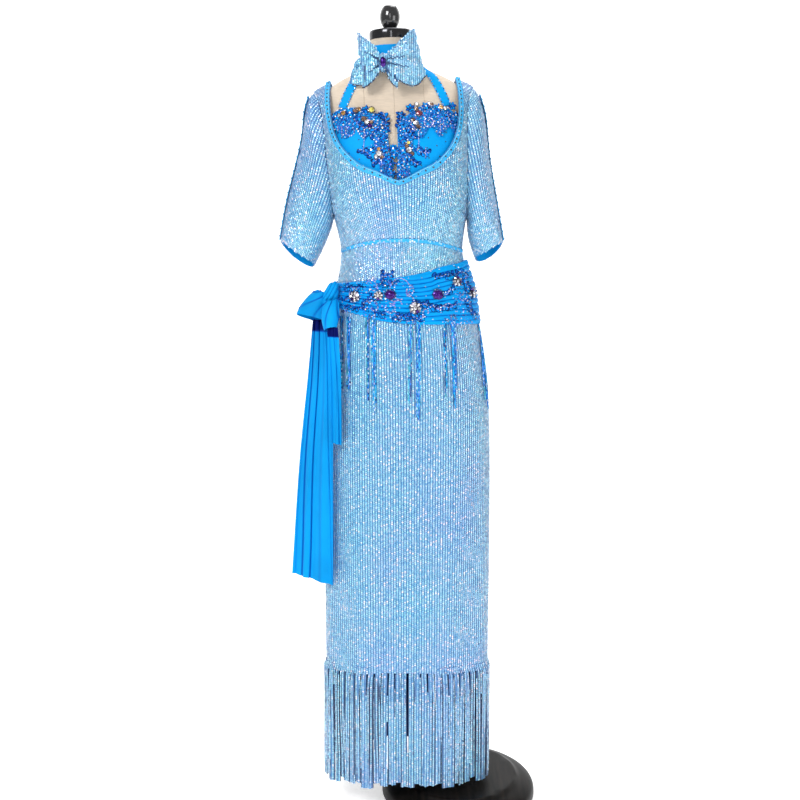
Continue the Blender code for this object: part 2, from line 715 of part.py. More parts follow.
def build_overarm_trim(side, sign, stations, mats):
    """The beaded binding along the overarm edge, from the shoulder to the cuff."""
    angles = (-OVERARM_HALF_ANGLE, 0.0, OVERARM_HALF_ANGLE)
    shares = (0.10, 0.16, 0.22, 0.29, 0.36, 0.44, 0.52, 0.60, 0.68, 0.76, 0.84, 0.92, 1.0)
    grid = []
    for share in shares:
        station = between(stations, share)
        line = []
        for a in angles:
            p = sleeve_point(station, sign, abs(a))
            p.y = math.copysign(p.y, -a) if a else 0.0
            line.append(p)
        grid.append(line if sign > 0 else line[::-1])
    shell("overarm_trim_" + side, moved(grid, 2 * LIFT + TRIM), moved(grid, 2 * LIFT), mats["trim"])


# The bra top
def on_body(x, level, sink):
    """A point in front of the form, sunk from the garment's outer surface."""
    return body(angle_at(x, level, sink), level, sink)


def cup_point(side, x, v):
    """A point on a cup: x out from the gap, v up from its lower edge."""
    cup = between(CUP, x)
    level = cup.low + (cup.top - cup.low) * v
    inner = (CUP[-1].x - x) / (CUP[-1].x - CUP[0].x)
    closing = CUP_CLOSING * inner * (1 - smooth(v / 0.7))
    return on_body(side * (x - closing) + BRA_SHIFT, level, cup.sink)


def build_bra(mats):
    for name, side in (("left", -1), ("right", 1)):
        across = steps(CUP[0].x, CUP[-1].x, CUP_COLUMNS)
        if side < 0:
            across = across[::-1]
        grid = [[cup_point(side, x, v) for x in across] for v in steps(0, 1, CUP_ROWS)]
        panel("bra_cup_" + name, grid, CUP_THICKNESS, mats["blue"])
        build_cup_lace(name, side, mats)
    half = CUP[0].x - 0.0026
    rows = steps(BRIDGE_LOW, BRIDGE_TOP, 1)
    grid = [[on_body(x + BRA_SHIFT, z, CUP[0].sink) for x in (-half, 0.0, half)] for z in rows]
    panel("bra_bridge", grid, CUP_THICKNESS, mats["blue"])


def build_cup_lace(name, side, mats):
    """The corded lace along a cup's inner and top edges, with a scalloped border."""
    inner_x, outer_x = CUP[0].x + 0.001, CUP[-1].x - 0.004
    columns = []
    for share in steps(0, 1, LACE_COLUMNS):
        scallop = 0.5 + 0.5 * math.cos(2 * math.pi * LACE_SCALLOPS * share)
        if share < LACE_TURN:
            v = 0.08 + 0.88 * share / LACE_TURN
            columns.append(((inner_x, v), (inner_x + 0.020 + 0.010 * scallop, min(v, 0.70))))
        else:
            along = (share - LACE_TURN) / (1 - LACE_TURN)
            x = inner_x + (outer_x - inner_x) * along
            low_x = max(x, inner_x + 0.028 * (1 - along))
            columns.append(((x, 0.985), (low_x, 0.76 - 0.14 * scallop)))
    grid = []
    for depth in steps(1, 0, LACE_ROWS):
        line = []
        for (x, v), (low_x, low_v) in columns:
            line.append(cup_point(side, x + (low_x - x) * depth, v + (low_v - v) * depth))
        grid.append(line[::-1] if side < 0 else line)
    patch("cup_lace_" + name, grid, 2 * LIFT, TRIM, mats["lace"])


def build_halter(mats):
    for name, path in (("left", LEFT_STRAP), ("right", RIGHT_STRAP)):
        inner, outer = [], []
        for share in steps(0, 1, 6):
            here, ahead = (between(path, min(max(share + d, 0), 1)) for d in (-0.01, 0.01))
            run = form_front(ahead.x, ahead.level)[0] - form_front(here.x, here.level)[0]
            spot = between(path, share)
            middle, out = form_front(spot.x, spot.level)
            across = run.cross(out).normalized() * STRAP_WIDTH / 2
            inner.append([middle + out * STRAP_GAP + across * w for w in (-1, 0, 1)])
            outer.append([middle + out * (STRAP_GAP + CLOTH) + across * w for w in (-1, 0, 1)])
        shell("halter_strap_" + name, outer, inner, mats["blue"])
    angles = steps(0, 2 * math.pi, FORM_SIDES)[:-1]
    band = [[form(a, z) for a in angles] for z in (BAND_LOW, 1.604, BAND_TOP)]
    patch("neck_band", band, 2 * LIFT, CLOTH, mats["blue"], closed=True)


def form_front(x, level):
    """A point on the front of the form itself, and the direction out of it."""
    low, high = -math.pi / 2, math.pi / 2
    for _ in range(30):
        middle = (low + high) / 2
        if form(middle, level).x < x:
            low = middle
        else:
            high = middle
    d = 0.002
    along = form(low + d, level) - form(low - d, level)
    rise = form(low, level + d) - form(low, level - d)
    return form(low, level), along.cross(rise).normalized()


# The neck bow
BOW_X = -0.018
BOW_Y = -0.0740
BOW_Z = 1.5878
# The knot wraps the bow's middle and reaches back to the neck band
KNOT_SET_BACK = 0.0095
KNOT_HALF = (0.0061, 0.0157, 0.0155)
BOW_GEM_HALF = (0.0055, 0.0100)
BOW_GEM_DEPTH = 0.0045
BowColumn = namedtuple("BowColumn", "share low_x low top_x top y")
BOW_LEFT = [
    BowColumn(0.00, -0.0060, -0.012, -0.0060, 0.013, 0.0000),
    BowColumn(0.20, -0.0190, -0.031, -0.0180, 0.023, -0.0050),
    BowColumn(0.40, -0.0370, -0.046, -0.0390, 0.051, -0.0030),
    BowColumn(0.50, -0.0430, -0.047, -0.0480, 0.060, 0.0090),
    BowColumn(0.60, -0.0390, -0.040, -0.0420, 0.050, 0.0185),
    BowColumn(0.80, -0.0200, -0.024, -0.0200, 0.026, 0.0120),
    BowColumn(1.00, -0.0065, -0.011, -0.0065, 0.012, 0.0060),
]
BOW_RIGHT = [
    BowColumn(0.00, 0.0060, -0.012, 0.0060, 0.014, 0.0000),
    BowColumn(0.20, 0.0260, -0.031, 0.0220, 0.026, -0.0060),
    BowColumn(0.38, 0.0580, -0.050, 0.0480, 0.050, -0.0030),
    BowColumn(0.50, 0.0820, -0.028, 0.0650, 0.063, 0.0120),
    BowColumn(0.62, 0.0710, -0.024, 0.0570, 0.053, 0.0245),
    BowColumn(0.80, 0.0320, -0.022, 0.0300, 0.028, 0.0150),
    BowColumn(1.00, 0.0065, -0.011, 0.0065, 0.012, 0.0060),
]
BOW_TAIL_LEFT = [
    BowColumn(0.0, -0.0100, -0.020, -0.0100, 0.008, 0.0103),
    BowColumn(0.5, -0.0440, -0.040, -0.0440, 0.016, 0.0228),
    BowColumn(0.8, -0.0580, -0.038, -0.0560, 0.004, 0.0243),
    BowColumn(1.0, -0.0690, -0.036, -0.0645, -0.020, 0.0253),
]
BOW_TAIL_RIGHT = [
    BowColumn(0.0, 0.0075, -0.022, 0.0085, -0.010, -0.0055),
    BowColumn(0.5, 0.0160, -0.040, 0.0190, -0.014, -0.0095),
    BowColumn(1.0, 0.0260, -0.050, 0.0310, -0.022, -0.0092),
]


def bow_grid(rows, along, across, crimp, turned_round):
    """A pleated band of the bow: its rows run up, and its columns along the band."""
    grid = []
    for v in steps(0, 1, across):
        line = []
        for share in steps(0, 1, along):
            r = between(rows, share)
            wave = crimp * math.cos(math.pi * v * across) * math.sin(math.pi * share)
            x = BOW_X + r.low_x + (r.top_x - r.low_x) * v
            line.append(Vector((x, BOW_Y + r.y + wave, BOW_Z + r.low + (r.top - r.low) * v)))
        grid.append(line[::-1] if turned_round else line)
    return grid


def build_bow(mats):
    pieces = (
        ("bow_loop_left", BOW_LEFT, 12, 4, 0.0014, True),
        ("bow_loop_right", BOW_RIGHT, 12, 4, 0.0014, False),
        ("bow_tail_left", BOW_TAIL_LEFT, 4, 3, 0.0012, True),
        ("bow_tail_right", BOW_TAIL_RIGHT, 4, 3, 0.0008, False),
    )
    for name, rows, along, across, crimp, turned_round in pieces:
        wall(name, bow_grid(rows, along, across, crimp, turned_round), CLOTH, mats["sequin"])
    knot_centre = Vector((BOW_X, BOW_Y + KNOT_SET_BACK, BOW_Z))
    oval("bow_knot", knot_centre, KNOT_HALF, 1.0, mats["sequin"])
    gem_centre = knot_centre - Vector((0, KNOT_HALF[1] + SEAM, 0))
    facet("bow_gem", gem_centre, Vector((0, -1, 0)), *BOW_GEM_HALF, BOW_GEM_DEPTH, mats["gem"])


def oval(name, centre, half, power, mat):
    """A rounded solid about its centre, with its half sizes along x, y and z."""
    rings = []
    for tilt in steps(-80, 80, 6):
        t = math.radians(tilt)
        scale = math.cos(t) ** power
        ring = []
        for a in steps(0, 2 * math.pi, 12)[:-1]:
            out = Vector((half[0] * scale * math.cos(a), half[1] * scale * math.sin(a), half[2] * math.sin(t)))
            ring.append(centre + out)
        rings.append(ring)
    stack(name, rings, mat)


def facet(name, centre, out, half_width, half_height, depth, mat, sides=10):
    """A cut stone with a flat back at the centre point, facing out."""
    up = Vector((0, 0, 1))
    across = up.cross(out).normalized() * -1
    rise = out.cross(across).normalized()
    rings = []
    for share, scale in ((0.0, 0.92), (0.35, 1.0), (1.0, 0.55)):
        ring = []
        for a in steps(0, 2 * math.pi, sides)[:-1]:
            flat = across * half_width * math.cos(a) + rise * half_height * math.sin(a)
            ring.append(centre + out * depth * share + flat * scale)
        rings.append(ring)
    stack(name, rings, mat)


# The sash, its knot and its tassels
def sash_surface(theta, v):
    """The skirt's surface under the sash: v up from the sash's lower edge to its top."""
    angle = (math.degrees(theta) + 180) % 360 - 180
    edge = between(SASH, angle)
    return body(theta, edge.low + (edge.top - edge.low) * v)


def sash_grid(angles, rows):
    """Inner and outer points of the sash, with its cross pleats raised on the outside."""
    ground = [[sash_surface(a, v) for a in angles] for v in rows]
    grid = []
    for i, v in enumerate(rows):
        line = []
        for j, a in enumerate(angles):
            drift = 0.10 * math.sin(2 * a + 0.7) + 0.05 * math.sin(5 * a)
            pleat = 0.5 - 0.5 * math.cos(2 * math.pi * SASH_PLEATS * (v + drift * v * (1 - v)))
            stand = between(SASH, math.degrees(a)).stand * smooth(v / 0.6)
            out = SASH_GAP + CLOTH + stand + PLEAT_DEPTH * pleat
            line.append(ground[i][j] + outward(ground[i][j]) * out)
        grid.append(line)
    return off_body(ground, SASH_GAP), grid


def build_sash(mats):
    angles = steps(-math.pi, math.pi, SASH_COLUMNS)[:-1]
    rows = steps(0, 1, 2 * SASH_PLEATS)
    inner, outer = sash_grid(angles, rows)
    shell("hip_sash", outer, inner, mats["blue"], closed=True)
    build_sash_ornaments(outer, mats)
    build_knot(mats)
    build_tassels(mats)


Rosette = namedtuple("Rosette", "x level radius kind")
SASH_ROSETTES = [
    Rosette(-0.0963, 1.1246, 0.0120, "crystal"), Rosette(-0.0500, 1.1281, 0.0100, "crystal"),
    Rosette(0.0205, 1.1044, 0.0130, "crystal"), Rosette(0.1033, 1.1543, 0.0115, "crystal"),
    Rosette(0.1330, 1.1290, 0.0115, "crystal"), Rosette(-0.0270, 1.1303, 0.0105, "gem"),
    Rosette(0.0659, 1.1297, 0.0110, "gem"),
]
ROSETTE_PETALS = 7


def seat_height(p, out, radius, grid):
    """How far out of the body a flat back of this radius rests on a pleated cloth's grid."""
    highest = 0.0
    for lower, upper in zip(grid, grid[1:]):
        for j in range(len(lower)):
            k = (j + 1) % len(lower)
            if (lower[j] - p).length > 4 * radius:
                continue
            for u in (0.0, 0.25, 0.5, 0.75):
                for v in (0.0, 0.25, 0.5, 0.75):
                    q = lower[j].lerp(lower[k], u).lerp(upper[j].lerp(upper[k], u), v) - p
                    height = q.dot(out)
                    if (q - out * height).length < radius:
                        highest = max(highest, height)
    return highest


def build_sash_ornaments(sash, mats):
    for number, spot in enumerate(SASH_ROSETTES, start=1):
        p = body(angle_at(spot.x, spot.level), spot.level)
        out = outward(p)
        lift = seat_height(p, out, 0.95 * spot.radius, sash) + 2 * SEAM
        name = f"sash_{spot.kind}_{number}"
        if spot.kind == "gem":
            facet(name, p + out * lift, out, spot.radius, spot.radius * 0.88, 0.0060, mats["gem"])
        else:
            rosette(name, p + out * lift, out, spot.radius, 0.0050, mats["crystal"])


def rosette(name, centre, out, radius, depth, mat):
    """A petalled cluster of stones on a flat back."""
    across = Vector((0, 0, 1)).cross(out).normalized() * -1
    rise = out.cross(across).normalized()
    rings = []
    for share, scale in ((0.0, 0.9), (0.5, 1.0), (1.0, 0.45)):
        ring = []
        for k in range(2 * ROSETTE_PETALS):
            a = math.pi * k / ROSETTE_PETALS
            reach = radius * scale * (1.0 if k % 2 else 0.72)
            ring.append(centre + out * depth * share + (across * math.cos(a) + rise * math.sin(a)) * reach)
        rings.append(ring)
    stack(name, rings, mat)


# The sash's knot, over the sash's end at the viewer's left
SASH_KNOT = Vector((-0.1470, -0.0618, 1.1385))
SASH_KNOT_HALF = (0.0150, 0.0150, 0.0190)
# Knot loops: rings from the knot to the mouth, each with its middle, half width, half depth and roll, and how
# much its front is raised and its back lowered
Ring = namedtuple("Ring", "share x y z half_wide half_deep roll rise")
LOOP_OUTER = [
    Ring(0.00, -0.1697, -0.0580, 1.1345, 0.0092, 0.0088, -24, 0.0),
    Ring(0.25, -0.1740, -0.0520, 1.1255, 0.0180, 0.0160, -18, 0.0),
    Ring(0.50, -0.1780, -0.0500, 1.1110, 0.0275, 0.0205, -16, 0.001),
    Ring(0.75, -0.1840, -0.0500, 1.0940, 0.0350, 0.0225, -17, 0.003),
    Ring(1.00, -0.1893, -0.0500, 1.0770, 0.0385, 0.0190, -15, 0.006),
]
LOOP_INNER = [
    Ring(0.00, -0.1500, -0.0745, 1.1180, 0.0130, 0.0095, 6, 0.0),
    Ring(0.25, -0.1505, -0.0815, 1.1090, 0.0170, 0.0130, 8, 0.0),
    Ring(0.50, -0.1515, -0.0870, 1.0940, 0.0190, 0.0155, 10, 0.0),
    Ring(0.75, -0.1530, -0.0880, 1.0770, 0.0185, 0.0160, 12, 0.002),
    Ring(1.00, -0.1540, -0.0870, 1.0600, 0.0140, 0.0125, 14, 0.0045),
]
LOOP_SIDES = 14
LOOP_CREASES = 4

# Sash tails: their left and right edges on the way down
TailRow = namedtuple("TailRow", "share left_x left_y right_x right_y z")
TAIL_LONG = [
    TailRow(0.00, -0.1915, -0.0500, -0.1573, -0.0545, 1.0760),
    TailRow(0.17, -0.2050, -0.0480, -0.1530, -0.0890, 0.9830),
    TailRow(0.52, -0.2280, -0.0460, -0.1560, -0.0920, 0.7900),
    TailRow(1.00, -0.2486, -0.0460, -0.1580, -0.0900, 0.5280),
]
TAIL_SHORT = [
    TailRow(0.00, -0.1610, -0.0900, -0.1384, -0.0951, 1.0642),
    TailRow(0.30, -0.1590, -0.100, -0.1360, -0.107, 0.9800),
    TailRow(1.00, -0.1570, -0.103, -0.1370, -0.111, 0.8260),
]


def loop_grid(rings):
    """Outer points of a puffed loop, knot end first."""
    grid = []
    for share in steps(0, 1, 7):
        r = between(rings, share)
        roll = math.radians(r.roll)
        line = []
        for a in steps(0, 2 * math.pi, LOOP_SIDES)[:-1]:
            crease = 1 + 0.05 * math.cos(LOOP_CREASES * a) * (1 - share)
            wide, deep = r.half_wide * math.cos(a) * crease, r.half_deep * math.sin(a) * crease
            z = r.z + wide * math.sin(roll) - r.rise * math.sin(a)
            line.append(Vector((r.x + wide * math.cos(roll), r.y + deep, z)))
        grid.append(line[::-1])
    return grid


def tail_grid(rows, folds, depth, columns, dip):
    """Points of a hanging tail, lower end first, with soft folds down its length."""
    grid = []
    for share in steps(1, 0, 8):
        r = between(rows, share)
        line = []
        for u in steps(0, 1, columns):
            fold = depth * math.sin(math.pi * folds * u) * (0.35 + 0.65 * share)
            x = r.left_x + (r.right_x - r.left_x) * u
            y = r.left_y + (r.right_y - r.left_y) * u + fold
            z = r.z - dip * u * share
            line.append(Vector((x, y, z)))
        grid.append(line)
    return grid


def build_knot(mats):
    wall("sash_loop_outer", loop_grid(LOOP_OUTER), CLOTH, mats["blue"], closed=True)
    wall("sash_loop_inner", loop_grid(LOOP_INNER), CLOTH, mats["blue"], closed=True)
    oval("sash_knot", SASH_KNOT, SASH_KNOT_HALF, 0.7, mats["blue"])
    wall("sash_tail_long", tail_grid(TAIL_LONG, 5, 0.0050, 10, 0.014), CLOTH, mats["blue"])
    wall("sash_tail_short", tail_grid(TAIL_SHORT, 3, 0.0030, 6, 0.004), CLOTH, mats["blue"])


def build_tassels(mats):
    """Bead strings in groups, each on a narrow head sewn to the sash's lower edge."""
    for number, tassel in enumerate(TASSELS, start=1):
        columns = 2 * tassel.strands - 1
        top, bottom, ends = [], [], []
        for u in steps(-0.5, 0.5, columns):
            theta = math.radians(tassel.angle + u * tassel.spread)
            edge = between(SASH, math.degrees(theta))
            p = sash_surface(theta, 0.02)
            flat = Vector((*outward(p).xy, 0)).normalized()
            stand = SASH_GAP + CLOTH + SEAM + FRINGE_THICK
            top.append(Vector((p.x, p.y, edge.low + TASSEL_LAP)) + flat * (stand + 0.5 * PLEAT_DEPTH))
            bottom.append(Vector((p.x, p.y, edge.low - TASSEL_LAP)) + flat * stand)
        for k in range(tassel.strands):
            middle = (bottom[2 * k] + bottom[2 * k + 1]) / 2
            ragged = 0.5 + 0.5 * math.cos(2.4 * k + number)
            level = middle.z - tassel.drop * (0.82 + 0.18 * ragged)
            spread = tassel.spread * (k / (tassel.strands - 1) - 0.5)
            away = body(math.radians(tassel.end_angle + spread), level)
            out = Vector((away.x, away.y, 0)).normalized()
            ends.append(Vector((away.x, away.y, level)) + out * (FRINGE_THICK + 0.0045))
        fringe(f"tassel_{number}", top, bottom, ends, TASSEL_DROPS, FRINGE_THICK, mats["bead"])


# The hem fringe
def strand_end(theta, k):
    """How high a hem strand ends."""
    side = math.sin(theta) ** 2
    level = FRINGE_END_FRONT + (FRINGE_END_SIDE - FRINGE_END_FRONT) * side
    return level + 0.010 * (0.5 + 0.5 * math.cos(2.1 * k)) + 0.006 * (0.5 + 0.5 * math.cos(5.3 * k + 1))


def hem_angle(u, start):
    """An angle round half the hem, even along the cloth, for u from 0 to 1."""
    count = 60
    angles = steps(start, start + math.pi, count)
    lengths = [0.0]
    for a, b in zip(angles, angles[1:]):
        lengths.append(lengths[-1] + (body(b, HEM) - body(a, HEM)).length)
    target = u * lengths[-1]
    k = next(i for i in range(count) if lengths[i + 1] >= target - 1e-9)
    return angles[k] + (angles[k + 1] - angles[k]) * (target - lengths[k]) / (lengths[k + 1] - lengths[k])


def build_hem_fringe(mats):
    for name, start in (("hem_fringe_front", -math.pi / 2), ("hem_fringe_back", math.pi / 2)):
        pitch = 1 / (HEM_STRANDS - 1 + STRAND_SHARE)
        places = []
        for k in range(HEM_STRANDS):
            places += [k * pitch, (k + STRAND_SHARE) * pitch]
        places = [0.006 + 0.988 * min(u, 1.0) for u in places]
        top, bottom, ends = [], [], []
        for u in places:
            theta = hem_angle(u, start)
            for line, rise in ((top, FRINGE_BAND), (bottom, -0.002)):
                level = hem_level(theta) + rise
                p = skirt_point(theta, level)
                out = Vector((p.x, p.y, 0)).normalized()
                line.append(p + out * (FRINGE_THICK + 0.0014))
        for k in range(HEM_STRANDS):
            middle = (bottom[2 * k] + bottom[2 * k + 1]) / 2
            theta = hem_angle((places[2 * k] + places[2 * k + 1]) / 2, start)
            out = Vector((middle.x, middle.y, 0)).normalized()
            sway = Vector((-out.y, out.x, 0)) * 0.0012 * math.cos(3.7 * k)
            drop = Vector((middle.x, middle.y, strand_end(theta, k)))
            ends.append(drop + out * 0.0010 * math.cos(2.9 * k) + sway)
        fringe(name, top, bottom, ends, ((1.0, 0.0),), FRINGE_THICK, mats["sequin"])


def main():
    for old in list(bpy.data.objects):
        bpy.data.objects.remove(old)
    mats = materials()
    build_stand(mats)
    build_form(mats)
    build_dress(mats)
    build_bra(mats)
    build_halter(mats)
    build_bow(mats)
    build_sash(mats)
    build_hem_fringe(mats)


main()
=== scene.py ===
"""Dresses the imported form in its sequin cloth, satin, lace, beads and stones, and sets up the studio.

Most cloth pieces start as a smooth copy of their frame solid. The halter straps and the sash's tails are new
sheets, laid on the form and on the tails' own solids. Sequins, stones, beads and lace are then laid on those
pieces by casting rays at them, so nothing here repeats the solids' own tables. Sizes are in metres.
"""
import math
import random

import bmesh
import bpy
import numpy as np
from bpy.props import FloatProperty, FloatVectorProperty, PointerProperty
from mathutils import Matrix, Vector, noise
from mathutils.bvhtree import BVHTree


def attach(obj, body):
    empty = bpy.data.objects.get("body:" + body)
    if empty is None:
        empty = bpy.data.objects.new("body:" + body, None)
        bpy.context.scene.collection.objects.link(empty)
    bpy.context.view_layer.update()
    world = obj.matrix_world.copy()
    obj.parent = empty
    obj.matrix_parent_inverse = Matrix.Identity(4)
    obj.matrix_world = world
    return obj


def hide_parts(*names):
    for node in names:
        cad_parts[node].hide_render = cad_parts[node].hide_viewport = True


bl_info = {
    "name": "Belly dance dress on dress form",
    "version": (1, 0, 0),
    "blender": (4, 5, 0),
    "location": "3D View > Sidebar > Dress",
    "description": "Makes the cloth, lace, beads, stones and studio around the packed dress and form",
    "category": "Object",
}

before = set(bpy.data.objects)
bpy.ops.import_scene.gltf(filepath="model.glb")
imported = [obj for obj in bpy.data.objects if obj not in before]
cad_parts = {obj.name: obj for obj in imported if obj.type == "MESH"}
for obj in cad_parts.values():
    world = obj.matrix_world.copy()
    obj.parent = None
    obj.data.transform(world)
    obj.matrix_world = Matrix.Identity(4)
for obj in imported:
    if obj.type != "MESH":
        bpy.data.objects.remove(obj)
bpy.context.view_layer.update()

BODY = "root"
UP = Vector((0.0, 0.0, 1.0))
# The form's middle line stands upright up to LEAN_START and leans fully from LEAN_FULL up
HEM_MIDDLE_X = -0.115
LEAN = math.radians(3.0)
LEAN_START = 0.85
LEAN_FULL = 1.12
# The level at which the ribs are spaced round the skirt, and the step between the angles measured there
RING_LEVEL = 0.62
RING_STEP = 3
RAY_START = 0.6
COVER_REACH = 0.02

pieces = {}


# Small sums
def clamped(value):
    return min(max(value, 0.0), 1.0)


def evenly(value):
    """The same value three times, for a size or a scale that is equal all ways."""
    return (value, value, value)


def facing(normal, out):
    """A normal, turned to the side that looks out."""
    return normal if normal.dot(out) > 0 else -normal


def points_of(data):
    return [v.co for v in data.vertices]


def middle_of(points):
    return sum(points, Vector()) / len(points)


def reach(points, axis):
    """The lowest and highest place of some points along an axis."""
    places = [getattr(q, axis) for q in points]
    return min(places), max(places)


# Settings
def metres(name, description, default):
    return FloatProperty(name=name, description=description, default=default, unit="LENGTH", precision=4)


def colour(name, description, default):
    return FloatVectorProperty(
        name=name, description=description, default=default, subtype="COLOR", size=3, min=0.0, max=1.0
    )


class DressSizes(bpy.types.PropertyGroup):
    """Sizes of what is laid on the cloth"""

    rib_pitch: metres("Rib pitch", "Distance between two rows of sequins", 0.0054)
    sequin_pitch: metres("Sequin pitch", "Distance between two sequins along a row", 0.0042)
    sequin_radius: metres("Sequin radius", "Half the width of one sequin", 0.0019)
    binding_stone_pitch: metres("Binding stones", "Distance between two stones on the neck binding", 0.0084)
    overarm_stone_pitch: metres("Overarm stones", "Distance between two stones down the overarm", 0.0150)
    bead_length: metres("Bead length", "Length of one bead on a tassel string", 0.0042)
    bead_radius: metres("Bead radius", "Half the width of one tassel bead", 0.0012)
    strap_stone_pitch: metres("Strap stones", "Distance between two stones along a strap's edge", 0.0060)


class DressColours(bpy.types.PropertyGroup):
    """Main colours of the dress"""

    satin: colour("Satin", "Colour of the sash, bra top and trims", (0.0, 0.33, 0.80))
    lace: colour("Lace", "Colour of the corded lace", (0.0, 0.09, 0.46))
    gem: colour("Gem", "Colour of the large oval stones", (0.040, 0.0, 0.17))
    linen: colour("Linen", "Colour of the form's cover", (0.72, 0.60, 0.47))


# Materials
def material(name, base, roughness, metallic=0.0, **sockets):
    """A material with constant values on its shader's own sockets, and its node tree's parts."""
    made = bpy.data.materials.new(name)
    made.use_nodes = True
    tree = made.node_tree
    shader = tree.nodes["Principled BSDF"]
    shader.inputs["Base Color"].default_value = (*base, 1.0)
    shader.inputs["Roughness"].default_value = roughness
    shader.inputs["Metallic"].default_value = metallic
    for socket, value in sockets.items():
        shader.inputs[socket.replace("_", " ")].default_value = value
    return made, tree, shader


def node(tree, kind, inputs=None, **settings):
    """A shader node with its settings, and its inputs set or linked by name."""
    made = tree.nodes.new(kind)
    for key, value in settings.items():
        setattr(made, key, value)
    for key, value in (inputs or {}).items():
        if isinstance(value, bpy.types.NodeSocket):
            tree.links.new(value, made.inputs[key])
        else:
            made.inputs[key].default_value = value
    return made


def ramp(tree, source, stops):
    """A colour ramp from a table of places and colours."""
    made = node(tree, "ShaderNodeValToRGB", {"Fac": source})
    elements = made.color_ramp.elements
    while len(elements) < len(stops):
        elements.new(0.5)
    for element, (place, shade) in zip(elements, stops):
        element.position = place
        element.color = (*shade, 1.0)
    return made.outputs["Color"]


def coordinates(tree, scale=(1.0, 1.0, 1.0), uv=None):
    """Scaled object coordinates, or a piece's own UV map."""
    if uv:
        source = node(tree, "ShaderNodeUVMap", uv_map=uv).outputs["UV"]
    else:
        source = node(tree, "ShaderNodeTexCoord").outputs["Object"]
    return node(tree, "ShaderNodeMapping", {"Vector": source, "Scale": scale}).outputs["Vector"]


def noise_value(tree, scale, detail):
    """Soft noise, finer along an axis where the scale is larger."""
    vector = coordinates(tree, scale)
    made = node(tree, "ShaderNodeTexNoise", {"Vector": vector, "Scale": 1.0, "Detail": detail})
    return made.outputs["Fac"]


def speck_value(tree, vector):
    """A value of its own for each sequin or bead."""
    made = node(tree, "ShaderNodeTexWhiteNoise", {"Vector": vector}, noise_dimensions="2D")
    return made.outputs["Value"]


def wave_value(tree, vector, scale, direction="X"):
    made = node(tree, "ShaderNodeTexWave", {"Vector": vector, "Scale": scale}, bands_direction=direction)
    return made.outputs["Fac"]


def painted_crease_shade(tree):
    """How much painted shade a place of the cloth gets in creases and loop mouths, as keep_painted_shade
    stores it.
    """
    return node(tree, "ShaderNodeAttribute", attribute_name="crease").outputs["Fac"]


def spread_roughness(tree, shader, source, low, high):
    """Roughness that runs from one value to another as the source runs from 0 to 1."""
    made = node(tree, "ShaderNodeMapRange", {"Value": source, "To Min": low, "To Max": high})
    tree.links.new(made.outputs["Result"], shader.inputs["Roughness"])


def paint(tree, shader, source):
    tree.links.new(source, shader.inputs["Base Color"])


def bump(tree, shader, height, distance, strength):
    inputs = {"Height": height, "Distance": distance, "Strength": strength}
    made = node(tree, "ShaderNodeBump", inputs)
    tree.links.new(made.outputs["Normal"], shader.inputs["Normal"])


def tinted(base, by, plus=0.0):
    """A darker or lighter shade of a colour."""
    return tuple(min(c * by + plus, 1.0) for c in base)


def blended(tree, factor, first, second, mode="MIX"):
    """A mix of two colours, each a socket or a fixed colour."""
    made = node(tree, "ShaderNodeMix", data_type="RGBA", blend_type=mode)
    for index, value in ((0, factor), (6, first), (7, second)):
        if isinstance(value, bpy.types.NodeSocket):
            tree.links.new(value, made.inputs[index])
        elif index == 0:
            made.inputs[index].default_value = value
        else:
            made.inputs[index].default_value = (*value, 1.0)
    return made.outputs[2]


WHITE = (1.0, 1.0, 1.0)
LILAC = (0.96, 0.86, 1.0)
AQUA = (0.78, 1.0, 1.0)
# Tints of single sequins, from the dullest up; the last near-white stop is a painted glint
SEQUIN_TINTS_AND_GLINTS = (
    (0.00, (0.110, 0.380, 0.660)),
    (0.20, (0.210, 0.540, 0.780)),
    (0.45, (0.310, 0.660, 0.840)),
    (0.62, (0.430, 0.640, 0.880)),
    (0.78, (0.310, 0.750, 0.880)),
    (0.90, (0.640, 0.830, 0.920)),
    (0.97, (0.960, 0.930, 0.980)),
)
KNIT_BLUE = (0.030, 0.160, 0.460)
# Painted shade colours: the knit in creases and between fringe strips, and the inside of a loop's mouth
KNIT_PAINTED_SHADE = (0.004, 0.020, 0.080)
PAINTED_MOUTH_SHADE = (0.0, 0.004, 0.10)
LACE_CORD = (0.02, 0.20, 0.72)
BEAD_GLINT = (0.75, 0.88, 1.0)


def sequin_colour(tree, uv, cell):
    """A colour for each sequin, drifting slowly between lilac and aqua over the cloth."""
    vector = coordinates(tree, uv=uv)
    if cell:
        vector = node(tree, "ShaderNodeVectorMath", {0: vector}, operation="FLOOR").outputs[0]
    speck = speck_value(tree, vector)
    tint = ramp(tree, speck, SEQUIN_TINTS_AND_GLINTS)
    drift = noise_value(tree, (7.0, 7.0, 4.0), 1.0)
    shade = ramp(tree, drift, ((0.32, LILAC), (0.52, WHITE), (0.70, AQUA)))
    return blended(tree, 0.85, tint, shade, "MULTIPLY"), speck


def sequin_cloth():
    """The knitted ground between the sequins: ribs that run with the cloth, and painted shade in its creases.
    """
    made, tree, shader = material("sequin cloth", (0.2, 0.4, 0.8), 0.42, 0.15, Sheen_Weight=0.3)
    tint, _ = sequin_colour(tree, "cloth", True)
    shaded = blended(tree, 0.80, tint, KNIT_BLUE)
    # Painted shade: darkens the knit where the crease attribute is set, in bow creases and down the fringe
    # strips' sides
    paint(tree, shader, blended(tree, painted_crease_shade(tree), shaded, KNIT_PAINTED_SHADE))
    ribs = wave_value(tree, coordinates(tree, (1.0, 0.0, 0.0), "cloth"), math.pi / 10)
    bump(tree, shader, ribs, 0.0012, 0.8)
    return made


